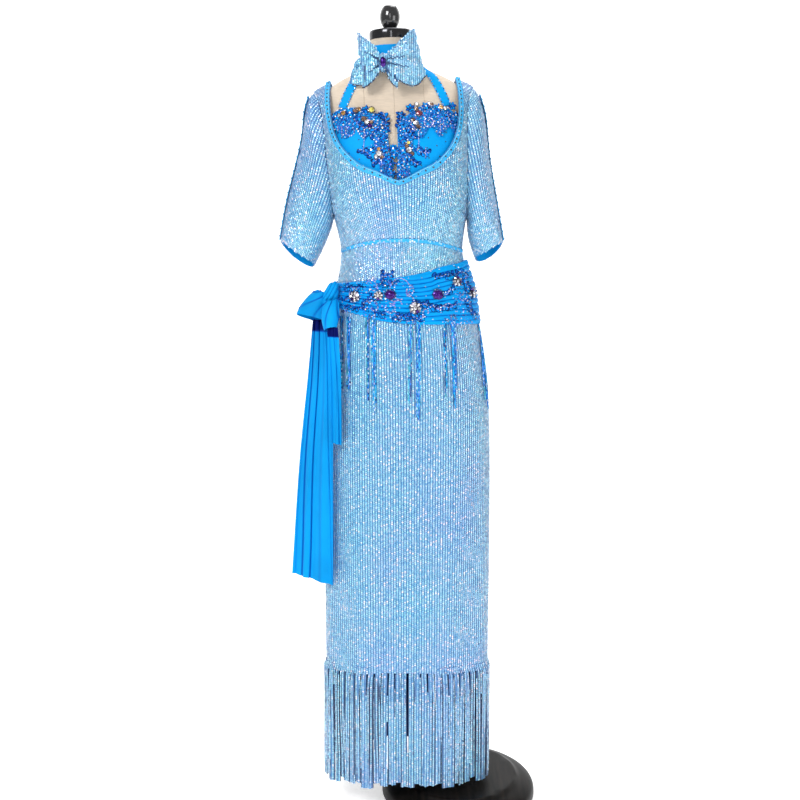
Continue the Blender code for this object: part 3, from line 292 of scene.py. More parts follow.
def sequin_disc():
    """A thin bright disc, each copy with a tint and a gloss of its own; a few tints are near-white painted
    glints.
    """
    made, tree, shader = material(
        "sequin disc", (0.4, 0.6, 0.9), 0.24, 0.30, Coat_Weight=0.3, Sheen_Weight=0.35,
        Sheen_Tint=(0.80, 0.66, 1.0, 1.0),
    )
    tint, speck = sequin_colour(tree, "disc", False)
    paint(tree, shader, tint)
    spread_roughness(tree, shader, speck, 0.34, 0.12)
    return made


def satin(name, base, grain):
    """Soft smooth cloth with fine drag lines along its length, with painted shade in its creases and painted
    dark shade in loop mouths.
    """
    made, tree, shader = material(
        name, base, 0.60, Sheen_Weight=0.02, Sheen_Roughness=0.4, Specular_IOR_Level=0.09
    )
    cloud = noise_value(tree, (9.0, 9.0, 5.0), 3.0)
    tint = ramp(tree, cloud, ((0.30, tinted(base, 0.80)), (0.52, base), (0.75, tinted(base, 1.08))))
    depth = painted_crease_shade(tree)
    # Painted shade in creases
    tint = blended(tree, depth, tint, (base[0] * 0.3, base[1] * 0.22, base[2] * 0.55))
    # Painted dark shade in a loop's mouth, where the stored value passes 1
    mouth_shade = node(tree, "ShaderNodeMath", {0: depth, 1: 1.0}, operation="SUBTRACT").outputs["Value"]
    paint(tree, shader, blended(tree, mouth_shade, tint, PAINTED_MOUTH_SHADE))
    bump(tree, shader, noise_value(tree, grain, 4.0), 0.0010, 0.5)
    return made


def lace_net(base, ground):
    """Open corded lace: dark-edged cords round cells where the satin shows."""
    made, tree, shader = material("lace ground", base, 0.50, Specular_IOR_Level=0.15)
    cells = node(
        tree, "ShaderNodeTexVoronoi", {"Vector": coordinates(tree), "Scale": 150.0},
        feature="DISTANCE_TO_EDGE",
    ).outputs["Distance"]
    dark = tinted(base, 0.25)
    stops = ((0.04, LACE_CORD), (0.10, base), (0.16, dark), (0.21, ground), (1.0, ground))
    paint(tree, shader, ramp(tree, cells, stops))
    cord = ramp(tree, cells, ((0.04, WHITE), (0.20, (0.0, 0.0, 0.0))))
    bump(tree, shader, cord, 0.0015, 1.0)
    return made


def linen(base):
    """Matt cover with crossed threads and faint slubs."""
    made, tree, shader = material("linen cover", base, 0.85, Sheen_Weight=0.2)
    across = wave_value(tree, coordinates(tree, (1.0, 1.0, 0.0)), 320.0)
    up = wave_value(tree, coordinates(tree, (0.0, 0.0, 1.0)), 320.0, "Z")
    threads = node(tree, "ShaderNodeMath", {0: across, 1: up}, operation="ADD")
    slub = noise_value(tree, (60.0, 60.0, 380.0), 3.0)
    paint(tree, shader, ramp(tree, slub, ((0.35, tinted(base, 0.94)), (0.65, tinted(base, 1.04)))))
    bump(tree, shader, threads.outputs[0], 0.0004, 0.5)
    return made


def lacquer(name, base, roughness, metallic=0.0, coat=1.0):
    """Polished black or chrome with faint handling marks."""
    made, tree, shader = material(
        name, base, roughness, metallic, Coat_Weight=coat, Coat_Roughness=0.05
    )
    marks = noise_value(tree, evenly(60.0), 4.0)
    spread_roughness(tree, shader, marks, roughness * 0.7, roughness * 1.5)
    return made


def dark_wood():
    """Nearly black turned wood with a dull varnish."""
    made, tree, shader = material(
        "dark turned wood", (0.012, 0.010, 0.010), 0.42,
        Coat_Weight=0.05, Coat_Roughness=0.25, Specular_IOR_Level=0.10,
    )
    grain = noise_value(tree, (90.0, 8.0, 40.0), 5.0)
    stops = ((0.35, (0.004, 0.004, 0.004)), (0.60, (0.011, 0.009, 0.008)), (0.80, (0.024, 0.017, 0.013)))
    paint(tree, shader, ramp(tree, grain, stops))
    bump(tree, shader, grain, 0.0003, 0.4)
    return made


def stone(name, base, metallic=0.25, roughness=0.06, shine=1.0):
    """A cut stone: deep colour, hard shine."""
    made, tree, shader = material(
        name, base, roughness, metallic, Coat_Weight=shine, Specular_IOR_Level=0.9 * shine
    )
    depth = noise_value(tree, evenly(240.0), 1.0)
    stops = ((0.35, tinted(base, 0.35)), (0.50, base), (0.68, tinted(base, 1.5, 0.02)))
    paint(tree, shader, ramp(tree, depth, stops))
    return made


def bead(name, base, metallic=0.1):
    """Glossy beads, each with a tint of its own; a few near-white ones are a painted glint."""
    made, tree, shader = material(
        name, base, 0.22, metallic, Coat_Weight=0.3, Specular_IOR_Level=0.4
    )
    speck = speck_value(tree, coordinates(tree, uv="disc"))
    # The top stop, BEAD_GLINT, is a painted glint
    stops = ((0.0, tinted(base, 0.45)), (0.45, base), (0.88, tinted(base, 1.4, 0.03)), (0.98, BEAD_GLINT))
    paint(tree, shader, ramp(tree, speck, stops))
    return made


def make_finishes(colours):
    blue = tuple(colours.satin)
    return {
        "sequin cloth": sequin_cloth(),
        "sequin disc": sequin_disc(),
        "satin": satin("blue satin", blue, (30.0, 30.0, 260.0)),
        "tail satin": satin("blue hanging satin", blue, (240.0, 240.0, 10.0)),
        "trim": satin("blue binding", (0.05, 0.42, 0.80), evenly(200.0)),
        "cord": satin("bright cord", (0.20, 0.60, 0.88), evenly(200.0)),
        "navy": satin("navy cord", (0.002, 0.020, 0.13), evenly(200.0)),
        "lace ground": lace_net(tuple(colours.lace), blue),
        "lace": satin("dark lace", tuple(colours.lace), evenly(500.0)),
        "blue lace": satin("mid blue lace", (0.0, 0.24, 0.80), evenly(500.0)),
        "linen": linen(tuple(colours.linen)),
        "black": lacquer("black lacquer", (0.012, 0.012, 0.013), 0.12),
        "chrome": lacquer("black chrome", (0.055, 0.055, 0.060), 0.13, 1.0, 0.2),
        # The cloth's inner side, painted near-black navy as the shade inside the skirt and fringe
        "painted inner shade": satin("wrong side of the sequin cloth", (0.010, 0.030, 0.110), evenly(300.0)),
        "wood": dark_wood(),
        "steel": lacquer("pole steel", (0.45, 0.46, 0.48), 0.28, 1.0, 0.2),
        "gem": stone("purple stone", tuple(colours.gem), 0.4, 0.10, 0.25),
        "crystal": stone("clear stone", (0.80, 0.78, 0.84), 0.55),
        "amber": stone("amber stone", (0.55, 0.26, 0.05)),
        "yellow": stone("yellow stone", (0.85, 0.70, 0.12)),
        "red": stone("dark red stone", (0.22, 0.01, 0.04)),
        "blue stone": stone("blue stone", (0.01, 0.07, 0.40)),
        "brown stone": stone("brown stone", (0.20, 0.09, 0.05)),
        "blue bead": bead("blue glass bead", (0.0, 0.18, 0.66)),
        "azure bead": bead("azure glass bead", (0.0, 0.40, 0.84)),
        "navy bead": bead("navy glass bead", (0.004, 0.05, 0.26)),
        "teal bead": bead("teal glass bead", (0.05, 0.42, 0.55)),
        "silver bead": bead("silver bead", (0.66, 0.68, 0.84), 0.5),
        "violet bead": bead("violet bead", (0.26, 0.20, 0.72), 0.4),
        "amber bead": bead("amber bead", (0.42, 0.22, 0.10), 0.4),
        "setting": lacquer("dark setting", (0.10, 0.08, 0.10), 0.25, 0.9, 0.2),
        "dark bead": bead("dark bead", (0.03, 0.025, 0.03), 0.2),
        "thread": satin("seam thread", (0.50, 0.41, 0.32), evenly(400.0)),
    }


finishes = {}


# Meshes
SHARP = math.radians(50)
RIM_SHARP = math.radians(60)
# A face whose normal faces outwards less than this is on the cloth's inner side, which is painted dark as
# shade
INWARDS = -0.2


def link(name, mesh, finish):
    """An object for a finished mesh, riding on the part."""
    made = bpy.data.objects.new(name, mesh)
    bpy.context.scene.collection.objects.link(made)
    mesh.materials.append(finishes[finish])
    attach(made, BODY)
    pieces[name] = made
    return made


def frame_mesh(source, name):
    """A merged copy of a frame node's mesh, its triangles joined to quads again."""
    bm = bmesh.new()
    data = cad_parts[source].data
    verts = [bm.verts.new(v.co) for v in data.vertices]
    for polygon in data.polygons:
        bm.faces.new([verts[i] for i in polygon.vertices])
    bmesh.ops.remove_doubles(bm, verts=bm.verts, dist=1e-5)
    bmesh.ops.join_triangles(
        bm, faces=bm.faces, angle_face_threshold=math.radians(25), angle_shape_threshold=math.radians(70)
    )
    mesh = bpy.data.meshes.new(name)
    bm.to_mesh(mesh)
    bm.free()
    return mesh


def smooth_copy(source, name, finish, levels=2, shape=None, uv=None, inner=None):
    """A finer wall on a frame node's form, which stands for it. A shape gives a height or a whole move, alone
    or with how much painted crease shade the point gets."""
    mesh = frame_mesh(source, name)
    bm = bmesh.new()
    bm.from_mesh(mesh)
    crease = bm.edges.layers.float.new("crease_edge")
    for edge in bm.edges:
        if len(edge.link_faces) == 2 and edge.calc_face_angle(0.0) > SHARP:
            edge[crease] = 1.0
    bm.to_mesh(mesh)
    bm.free()
    made = link(name, mesh, finish)
    if levels:
        modifier = made.modifiers.new("finer", "SUBSURF")
        modifier.levels = levels
        modifier.render_levels = levels
        activate(made)
        bpy.ops.object.modifier_apply(modifier=modifier.name)
    mesh = made.data
    mesh.attributes.remove(mesh.attributes["crease_edge"])
    if shape:
        normals = [v.normal.copy() for v in mesh.vertices]
        creases = []
        for v, n in zip(mesh.vertices, normals):
            move = shape(v.co, n)
            move, depth = move if isinstance(move, tuple) else (move, 0.0)
            v.co += move if isinstance(move, Vector) else n * move
            creases.append(depth)
        # Painted shade for creases and loop mouths, read by the satin and sequin cloth
        keep_painted_shade(mesh, creases)
    mesh.shade_smooth()
    mesh.set_sharp_from_angle(angle=SHARP)
    if uv:
        set_uv(mesh, "cloth", uv)
    # Inward faces get the inner finish, painted dark as shade
    if inner:
        mesh.materials.append(finishes[inner])
        for polygon in mesh.polygons:
            polygon.material_index = int(polygon.normal.dot(away(polygon.center)) < INWARDS)
    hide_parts(source)
    return made


def cut(source, ending, finish, flat, held, on, levels=2, area=None, **shaping):
    """A sheet of cloth on a frame node's form; the flat size it was cut to and what holds it are not used."""
    made = smooth_copy(source, f"{source}_{ending}", finish, levels, **shaping)
    return made


def keep_painted_shade(mesh, creases):
    """Painted shade for each point: 0 on the open cloth, 1 darkened as shade in a crease, 2 painted with the
    dark shade of a loop's mouth.
    """
    if any(creases):
        layer = mesh.attributes.new("crease", "FLOAT", "POINT")
        layer.data.foreach_set("value", [min(max(c, 0.0), 2.0) for c in creases])


def walled_sheet(source, finish, rows, thickness, creases=None):
    """A closed wall from rows of outer points with their outward normals, which stands for a frame node."""
    name = source + "_satin"
    tall, wide = len(rows), len(rows[0])
    points = [p for row in rows for p, _ in row] + [p - n * thickness for row in rows for p, n in row]
    back = tall * wide
    faces = []
    for j in range(tall - 1):
        for i in range(wide - 1):
            a = j * wide + i
            faces.append((a, a + 1, a + wide + 1, a + wide))
            faces.append((back + a, back + a + wide, back + a + wide + 1, back + a + 1))
    rim = [(i, i + 1) for i in range(wide - 1)]
    rim += [(j * wide + wide - 1, (j + 1) * wide + wide - 1) for j in range(tall - 1)]
    rim += [((tall - 1) * wide + i + 1, (tall - 1) * wide + i) for i in range(wide - 1)]
    rim += [((j + 1) * wide, j * wide) for j in range(tall - 1)]
    faces += [(b, a, back + a, back + b) for a, b in rim]
    mesh = bpy.data.meshes.new(name)
    mesh.from_pydata(points, [], faces)
    made = link(name, mesh, finish)
    # Both faces of the sheet get the same painted crease shade
    if creases:
        keep_painted_shade(mesh, creases * 2)
    mesh.shade_smooth()
    mesh.set_sharp_from_angle(angle=RIM_SHARP)
    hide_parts(source)
    return made


def activate(obj):
    bpy.ops.object.select_all(action="DESELECT")
    obj.select_set(True)
    bpy.context.view_layer.objects.active = obj


def set_uv(mesh, name, place):
    layer = mesh.uv_layers.new(name=name)
    spots = [place(v.co) for v in mesh.vertices]
    values = []
    for loop in mesh.loops:
        values += spots[loop.vertex_index]
    layer.data.foreach_set("uv", values)


def tree_of(*names):
    """One ray target made of several pieces."""
    points, faces = [], []
    for name in names:
        mesh = pieces[name].data
        start = len(points)
        points += [v.co.copy() for v in mesh.vertices]
        faces += [[start + i for i in p.vertices] for p in mesh.polygons]
    return BVHTree.FromPolygons(points, faces)


# The body's middle line and its ribs
def axis_x(z):
    """Where the form's middle line is at a level."""
    span = LEAN_FULL - LEAN_START
    t = clamped((z - LEAN_START) / span)
    return HEM_MIDDLE_X - LEAN * (span * (t**3 - t**4 / 2) + max(0.0, z - LEAN_FULL))


def leaned(x, level):
    """A front place in the form's own frame, x from its middle line, as it stands in the scene."""
    share = clamped((level - 1.30) / 0.20)
    rise = x * 0.030 * share * share * (3 - 2 * share)
    return axis_x(level) + x, level + rise


def away(p):
    """The level direction from the middle line to a point."""
    return Vector((p.x - axis_x(p.z), p.y, 0.0)).normalized()


def turn(p):
    """A point's angle round the middle line, 0 at the front and growing towards the viewer's right."""
    return math.degrees(math.atan2(p.x - axis_x(p.z), -p.y))


def cast(tree, angle, z):
    """Where a level ray towards the middle line meets a piece from outside."""
    a = math.radians(angle)
    out = Vector((math.sin(a), -math.cos(a), 0.0))
    start = Vector((axis_x(z), 0.0, z)) + out * RAY_START
    spot, normal, _, _ = tree.ray_cast(start, -out, RAY_START)
    return (spot, facing(normal, out)) if spot else None


class Ring:
    """Distances round a piece from the front's middle, for the angles of a full turn to each side."""

    def __init__(self, tree, level):
        self.angles = list(range(-360, 361, RING_STEP))
        spots = [cast(tree, a, level) for a in self.angles]
        spots = [s[0] if s else None for s in spots]
        lengths = [0.0]
        for a, b in zip(spots, spots[1:]):
            lengths.append(lengths[-1] + ((b - a).length if a and b else lengths[-1] - lengths[-2]))
        middle = lengths[self.angles.index(0)]
        self.lengths = [s - middle for s in lengths]
        self.whole = lengths[-1] / 2

    def length(self, angle):
        return float(np.interp(angle, self.angles, self.lengths))

    def angle(self, length):
        return float(np.interp(length, self.lengths, self.angles))


rings = {}


def rib_place(back):
    """The cloth's own coordinates: ribs across and sequins up."""
    sizes = bpy.context.scene.dress_sizes

    def place(p):
        angle = turn(p) % 360 if back else turn(p)
        return rings["skirt"].length(angle) / sizes.rib_pitch, p.z / sizes.sequin_pitch

    return place


# Shapes that are laid on cloth in numbers, each modelled once
shapes = {}


def begin(add, **settings):
    """Add a primitive with nothing else selected, and open it for editing by its faces."""
    bpy.ops.object.select_all(action="DESELECT")
    add(**settings)
    bpy.context.tool_settings.mesh_select_mode = (False, False, True)
    bpy.ops.object.mode_set(mode="EDIT")


def pick_faces(test):
    """Select the open piece's faces whose normal passes a test."""
    mesh = bpy.context.active_object.data
    bm = bmesh.from_edit_mesh(mesh)
    bm.normal_update()
    for face in bm.faces:
        face.select_set(False)
    for face in bm.faces:
        if test(face.normal):
            face.select_set(True)
    bmesh.update_edit_mesh(mesh)


def keep(name):
    """Close the open piece and keep its points and faces as a shape to copy."""
    bpy.ops.object.mode_set(mode="OBJECT")
    made = bpy.context.active_object
    mesh = made.data
    points = np.array([made.matrix_world @ v.co for v in mesh.vertices])
    shapes[name] = points, [tuple(p.vertices) for p in mesh.polygons]
    bpy.data.objects.remove(made)
    bpy.data.meshes.remove(mesh)


def make_shapes():
    """Sequin, cut stone, round bead, long bead and leaf, at a half size of one."""
    add = bpy.ops.mesh
    begin(add.primitive_circle_add, vertices=6, radius=1.0, fill_type="NGON")
    bpy.ops.mesh.select_all(action="SELECT")
    bpy.ops.mesh.poke(offset=-0.20)
    keep("sequin")
    begin(add.primitive_cylinder_add, vertices=8, radius=1.0, depth=0.4, location=(0.0, 0.0, 0.2))
    pick_faces(lambda normal: normal.z > 0.9)
    bpy.ops.mesh.inset(thickness=0.40, depth=0.42)
    keep("stone")
    begin(add.primitive_ico_sphere_add, subdivisions=1, radius=1.0)
    bpy.ops.mesh.select_all(action="SELECT")
    bpy.ops.transform.resize(value=(1.0, 1.0, 0.86))
    keep("bead")
    begin(
        add.primitive_cylinder_add, vertices=6, radius=1.0, depth=1.8, rotation=(math.pi / 2, 0.0, 0.0)
    )
    pick_faces(lambda normal: abs(normal.z) > 0.9)
    bpy.ops.mesh.inset(thickness=0.35, depth=0.10, use_individual=True)
    keep("long bead")
    begin(add.primitive_circle_add, vertices=10, radius=1.0, fill_type="NGON")
    bpy.ops.mesh.select_all(action="SELECT")
    bpy.ops.transform.resize(value=(0.44, 1.0, 1.0))
    bpy.ops.mesh.poke(offset=0.16)
    keep("leaf")


def copies(name, shape, spots, finish, tilt=0.0, seed=1):
    """Copies of one shape. A spot is a centre, a normal, a direction, three half sizes and a tint's pair."""
    if not spots:
        raise RuntimeError(f"nothing is laid for {name}")
    rng = np.random.default_rng(seed)
    points, faces = shapes[shape]
    centre, normal, along, size, key = (np.array([s[i] for s in spots], float) for i in range(5))
    normal = normal + rng.normal(0.0, tilt, normal.shape)
    normal /= np.linalg.norm(normal, axis=1)[:, None]
    across = np.cross(along, normal)
    across /= np.linalg.norm(across, axis=1)[:, None]
    along = np.cross(normal, across)
    local = points[None] * size[:, None]
    placed = centre[:, None]
    for axis, direction in enumerate((across, along, normal)):
        placed = placed + local[:, :, axis, None] * direction[:, None]
    count = len(points)
    mesh = bpy.data.meshes.new(name)
    copied_faces = [[i + k * count for i in face] for k in range(len(spots)) for face in faces]
    mesh.from_pydata(placed.reshape(-1, 3), [], copied_faces)
    layer = mesh.uv_layers.new(name="disc")
    loops = sum(len(face) for face in faces)
    layer.data.foreach_set("uv", np.repeat(key, loops, axis=0).ravel())
    return link(name, mesh, finish)


SEQUIN_LIFT = 0.0007
SEQUIN_TALL = 1.22


def sew(name, found, tilt, seed):
    """Sequins at found points with their normals and tint pairs, each tilted a little."""
    sizes = bpy.context.scene.dress_sizes
    size = (sizes.sequin_radius, sizes.sequin_radius * SEQUIN_TALL, sizes.sequin_radius)
    spots = [(spot + normal * SEQUIN_LIFT, normal, UP, size, key) for spot, normal, key in found]
    copies(name, "sequin", spots, "sequin disc", tilt, seed)


def met_from_front(tree, x, z, back=False):
    """Where a level ray from the front, or the back, meets a piece."""
    out = Vector((0.0, 1.0 if back else -1.0, 0.0))
    spot, normal, _, _ = tree.ray_cast(Vector((x, out.y * RAY_START, z)), -out, 2 * RAY_START)
    return (spot, facing(normal, out)) if spot else None


def arc(radius, start, sweep, squeeze=1.0, count=24):
    """A drawn curve round its middle, wound inwards where squeeze is under 1. Angles go clockwise from up."""
    points = []
    for k in range(count + 1):
        t = k / count
        r = radius * (1.0 - (1.0 - squeeze) * t)
        a = start + sweep * t
        points.append((r * math.sin(a), r * math.cos(a)))
    return points


def wave(length, swing):
    """A drawn line upwards with one soft double bend."""
    return [(swing * math.sin(2 * math.pi * k / 16), length * k / 16) for k in range(17)]


def walked(path, pitch):
    """Points and headings at an even pitch along a drawn path."""
    found, left = [], 0.0
    for (u0, v0), (u1, v1) in zip(path, path[1:]):
        run = math.hypot(u1 - u0, v1 - v0)
        while left < run:
            t = left / run
            found.append((u0 + (u1 - u0) * t, v0 + (v1 - v0) * t, math.atan2(u1 - u0, v1 - v0)))
            left += pitch
        left -= run
    return found


def met_past_edge(tree, under, x, z):
    """Where a piece is met from the front, or past its edge a place over what lies under it."""
    met = met_from_front(tree, x, z)
    if met:
        return met
    below = met_from_front(under, x, z)
    if below is None:
        return None
    for step in range(1, 15):
        off = 0.001 * step
        for k in range(12):
            a = math.pi * k / 6
            near = met_from_front(tree, x + off * math.sin(a), z + off * math.cos(a))
            if near:
                y = min(near[0].y + 0.35 * off, below[0].y - 0.0010)
                return Vector((x, y, z)), below[1]
    return below


SILVER_ROW = ("silver bead", "violet bead")


class Applique:
    """Petals, cords, beads and stones laid on cloth from the front, gathered by shape and finish."""

    def __init__(self, tree, seed, back=False, under=None):
        self.tree = tree
        self.under = under
        self.rng = random.Random(seed)
        self.back = back
        self.laid = {}

    def lay(self, shape, finish, x, z, turn, size, lift=0.0004):
        """One copy at a place, turned clockwise from upright, with its half sizes."""
        if self.under:
            met = met_past_edge(self.tree, self.under, x, z)
        else:
            met = met_from_front(self.tree, x, z, self.back)
        if met is None:
            return
        spot, normal = met
        across = UP.cross(normal).normalized()
        rise = normal.cross(across)
        along = rise * math.cos(turn) + across * math.sin(turn)
        key = (self.rng.randrange(997), self.rng.randrange(991))
        self.laid.setdefault((shape, finish), []).append((spot + normal * lift, normal, along, size, key))

    def petal(self, finish, x, z, turn, size, lift):
        """A leaf on a slightly larger dark one."""
        self.lay("leaf", "navy", x, z, turn, (size[0] * 1.5, size[1] * 1.22, size[2] * 0.6), lift)
        self.lay("leaf", finish, x, z, turn, size, lift + 0.0004)

    def row(self, path, x, z, turn, pitch, size, tints, shape="bead"):
        """Copies along a drawn path that starts or turns round a place."""
        c, s = math.cos(turn), math.sin(turn)
        for k, (u, v, heading) in enumerate(walked(path, pitch)):
            tint = tints[k % len(tints)]
            self.lay(shape, tint, x + u * c + v * s, z - u * s + v * c, heading + turn, size, size[2])

    def stone(self, x, z, radius, finish, high=0.55):
        """A cut stone in a ring of small dark beads."""
        self.lay("stone", finish, x, z, self.rng.random() * 3, (radius, radius, radius * high), 0.0012)
        seed = radius * 0.22
        self.row(arc(radius * 1.12, 0.0, 2 * math.pi), x, z, 0.0, seed * 2.1, evenly(seed), ("dark bead",))

    def flower(self, x, z, size, turn, shades=("blue lace", "lace", "satin")):
        """Petals round a stone, with a bead past each tip."""
        petals = 5 if size < 0.008 else 6
        leaf = (0.66 * size, 0.50 * size, 0.40 * size)
        for k in range(petals):
            a = turn + 2 * math.pi * k / petals
            u, v = math.sin(a), math.cos(a)
            shade = shades[k % len(shades)]
            self.petal(shade, x + 0.55 * size * u, z + 0.55 * size * v, a, leaf, 0.0006)
            self.lay("bead", "blue bead", x + 1.1 * size * u, z + 1.1 * size * v, 0.0, evenly(0.0012), 0.0010)
        centre = self.rng.choice(("crystal", "blue stone", "crystal"))
        self.lay("stone", centre, x, z, 0.0, evenly(0.26 * size), 0.0016)

    def sprig(self, x, z, size, turn, shades=("lace", "blue lace")):
        """A bent bead stem with leaves on both sides."""
        stem = [(0.22 * size * math.sin(math.pi * k / 12), size * (k / 6 - 1.0)) for k in range(13)]
        leaf = (0.50 * size, 0.40 * size, 0.24 * size)
        c, s = math.cos(turn), math.sin(turn)
        for k, (u, v, heading) in enumerate(walked(stem, size * 0.34)):
            side = 1 if k % 2 else -1
            a = heading + side * 0.9
            u += side * size * 0.26 * math.cos(heading)
            shade = shades[k % len(shades)]
            self.petal(shade, x + u * c + v * s, z - u * s + v * c, a + turn, leaf, 0.0005)
        self.row(stem, x, z, turn, 0.0026, evenly(0.0012), ("silver bead", "blue bead", "violet bead"))

    def scroll(self, x, z, size, turn):
        """A bead row that winds inwards, with a finer one outside it."""
        tints = (*SILVER_ROW, "silver bead", "blue bead")
        self.row(arc(size, 0.0, 1.65 * math.pi, 0.35), x, z, turn, 0.0031, evenly(0.0015), tints)
        outer = arc(size * 1.20, -0.1, 1.5 * math.pi, 0.40)
        self.row(outer, x, z, turn, 0.0021, evenly(0.0009), ("blue bead",))

    def ring(self, x, z, size, turn):
        """An open ring of beads, one row outside the other."""
        self.row(arc(size, 0.35, 1.75 * math.pi), x, z, turn, 0.0031, evenly(0.0015), SILVER_ROW)
        inner = arc(size * 0.66, 0.5, 1.6 * math.pi)
        self.row(inner, x, z, turn, 0.0023, evenly(0.0009), ("blue bead",))

    def drop(self, x, z, size, turn):
        """A straight bead row that ends in a stone."""
        self.row([(0.0, 0.0), (0.0, -size)], x, z, turn, 0.0026, evenly(0.0011), SILVER_ROW[::-1])
        end_x, end_z = x - size * math.sin(turn), z - size * math.cos(turn)
        self.lay("stone", "blue stone", end_x, end_z, 0.0, evenly(0.0018))

    def line(self, x, z, size, turn):
        """A bead row with one soft double bend."""
        self.row(wave(size, size * 0.16), x, z, turn, 0.0031, evenly(0.0015), SILVER_ROW)

    def cluster(self, x, z, size, turn):
        """Small stones and beads heaped on a patch."""
        tints = ("blue stone", "dark bead", "blue bead", "blue bead", "silver bead", "teal bead")
        for _ in range(int(size * 3000)):
            a, r = self.rng.random() * 2 * math.pi, size * math.sqrt(self.rng.random())
            tint = self.rng.choice(tints)
            shape = "stone" if tint.endswith("stone") else "bead"
            self.lay(shape, tint, x + r * math.sin(a), z + r * math.cos(a), a, evenly(0.0014), 0.0008)

    def sprinkle(self, ground, box, gap, tints, radius, tries=9000):
        """Small round sequins over a ground, no two nearer than a gap. Gives their places."""
        x0, z0, x1, z1 = box
        places = []
        grid = {}
        around = [(i, j) for i in (-1, 0, 1) for j in (-1, 0, 1)]
        for _ in range(tries):
            x, z = x0 + (x1 - x0) * self.rng.random(), z0 + (z1 - z0) * self.rng.random()
            cell = (int(x / gap), int(z / gap))
            near = [q for i, j in around for q in grid.get((cell[0] + i, cell[1] + j), ())]
            if any(math.hypot(x - q[0], z - q[1]) < gap for q in near):
                continue
            if met_from_front(ground, x, z, self.back) is None:
                continue
            grid.setdefault(cell, []).append((x, z))
            places.append((x, z))
            if radius:
                size = radius * (0.8 + 0.5 * self.rng.random())
                tint = self.rng.choice(tints)
                self.lay("sequin", tint, x, z, self.rng.random() * 3, evenly(size), 0.0009)
        return places

    def draw(self, table, place=lambda x, z: (x, z)):
        """Motifs from a table of kind, x, level, size and turn in degrees, each put at its place."""
        for kind, x, z, size, turned in table:
            getattr(self, kind)(*place(x, z), size, math.radians(turned))

    def finish(self, prefix, slot=None):
        """Makes one piece of each shape and finish that was laid; the slot is not used."""
        for (shape, tint), spots in sorted(self.laid.items()):
            name = f"{prefix}_{tint}_{shape}".replace(" ", "_")
            copies(name, shape, spots, tint, LAID_TILT, len(spots))


LAID_TILT = 0.12


# How much of the whole round a panel's rows reach to each side of its middle
PANEL_SHARE = 0.28
# A place whose normal faces outwards less than this is an edge, and gets no sequin
EDGE_ON = 0.15


def covered(cover, spot, normal):
    """Whether something lies close over a place."""
    return cover.ray_cast(spot + normal * 0.0002, normal, COVER_REACH)[0] is not None


def lay_rows(tree, cover, back, levels, first_tint):
    """Sequin places in upright rows on a panel, where nothing covers it."""
    sizes = bpy.context.scene.dress_sizes
    ring = rings["skirt"]
    middle = ring.length(180) if back else 0.0
    count = int(ring.whole / sizes.rib_pitch * PANEL_SHARE)
    low, high = levels
    spots = []
    for column in range(-count, count + 1):
        angle = ring.angle(middle + column * sizes.rib_pitch)
        for row in range(int((high - low) / sizes.sequin_pitch)):
            z = low + (row + 0.5 * (column % 2)) * sizes.sequin_pitch
            hit = cast(tree, angle, z)
            if hit is None:
                continue
            spot, normal = hit
            if normal.dot(away(spot)) < EDGE_ON or (cover is not None and covered(cover, spot, normal)):
                continue
            spots.append((spot, normal, (column, row + first_tint)))
    return spots


ray_targets = {}
# The front neckline's lowest point, and how far to its sides and how much the cloth there is raised
NECK_POINT = Vector((-0.1335, 0.0, 1.3450))
NECK_REACH = 0.075
NECK_RISE = 0.0065
NECK_FADE = 0.030


def pointed(p, normal):
    """Draws the front neckline to a soft point by raising it on both sides of its middle."""
    off = math.hypot(p.x - NECK_POINT.x, 0.005) / NECK_REACH
    if off >= 1.0 or p.y > -0.03:
        return Vector()
    share = clamped((p.z - NECK_POINT.z + NECK_FADE) / NECK_FADE)
    rise = NECK_RISE * math.sin(math.pi * off) * share
    _, along, _, _ = ray_targets["form"].find_nearest(p)
    slide = UP - along * along.z
    return slide * (rise / slide.z)


class DRESS_OT_panels(bpy.types.Operator):
    """Make the bodice and the skirt from sequin cloth"""

    bl_idname = "dress.panels"
    bl_label = "Bodice and skirt"

    def execute(self, context):
        for side in ("front", "back"):
            cut(
                f"skirt_{side}", "cloth", "sequin cloth", (0.52, 0.93), "hung", ["form_cover"],
                shape=drape, inner="painted inner shade",
            )
        rings["skirt"] = Ring(tree_of("skirt_front_cloth", "skirt_back_cloth"), RING_LEVEL)
        for side in ("front", "back"):
            set_uv(pieces[f"skirt_{side}_cloth"].data, "cloth", rib_place(side == "back"))
        for side, area, shape in (("front", 0.080, pointed), ("back", 0.108, None)):
            cut(
                f"bodice_{side}", "cloth", "sequin cloth", (0.42, 0.38), "hung", ["form_cover"],
                area=area, shape=shape, uv=rib_place(side == "back"),
            )
        return {"FINISHED"}


def drape(p, normal):
    """Soft unevenness of hanging cloth, growing towards the hem."""
    fall = clamped((1.05 - p.z) / 0.7)
    broad = noise.noise(Vector((p.x * 9, p.y * 9, p.z * 1.6)))
    return 0.0028 * fall * broad * (1.0 if normal.dot(away(p)) > 0 else -1.0)


# Arm middle lines, from the shoulder to the cuff
ARMS = {
    "left": (Vector((-0.2875, 0.0, 1.42)), Vector((-0.3455, 0.0, 1.214))),
    "right": (Vector((0.0125, 0.0, 1.42)), Vector((0.0555, 0.0, 1.220))),
}
ARM_RADIUS = 0.052
ARM_RAY = 0.25
SLEEVE_COLUMNS = 62
SLEEVE_ROWS = (-34, 56)
OVERARM_HALF = 0.0075


def arm_axes(side):
    """An arm's top, its run to the cuff, its way to the front and its way across."""
    top, end = ARMS[side]
    run = (end - top).normalized()
    front = Vector((0.0, -1.0, 0.0))
    return top, run, front, run.cross(front)


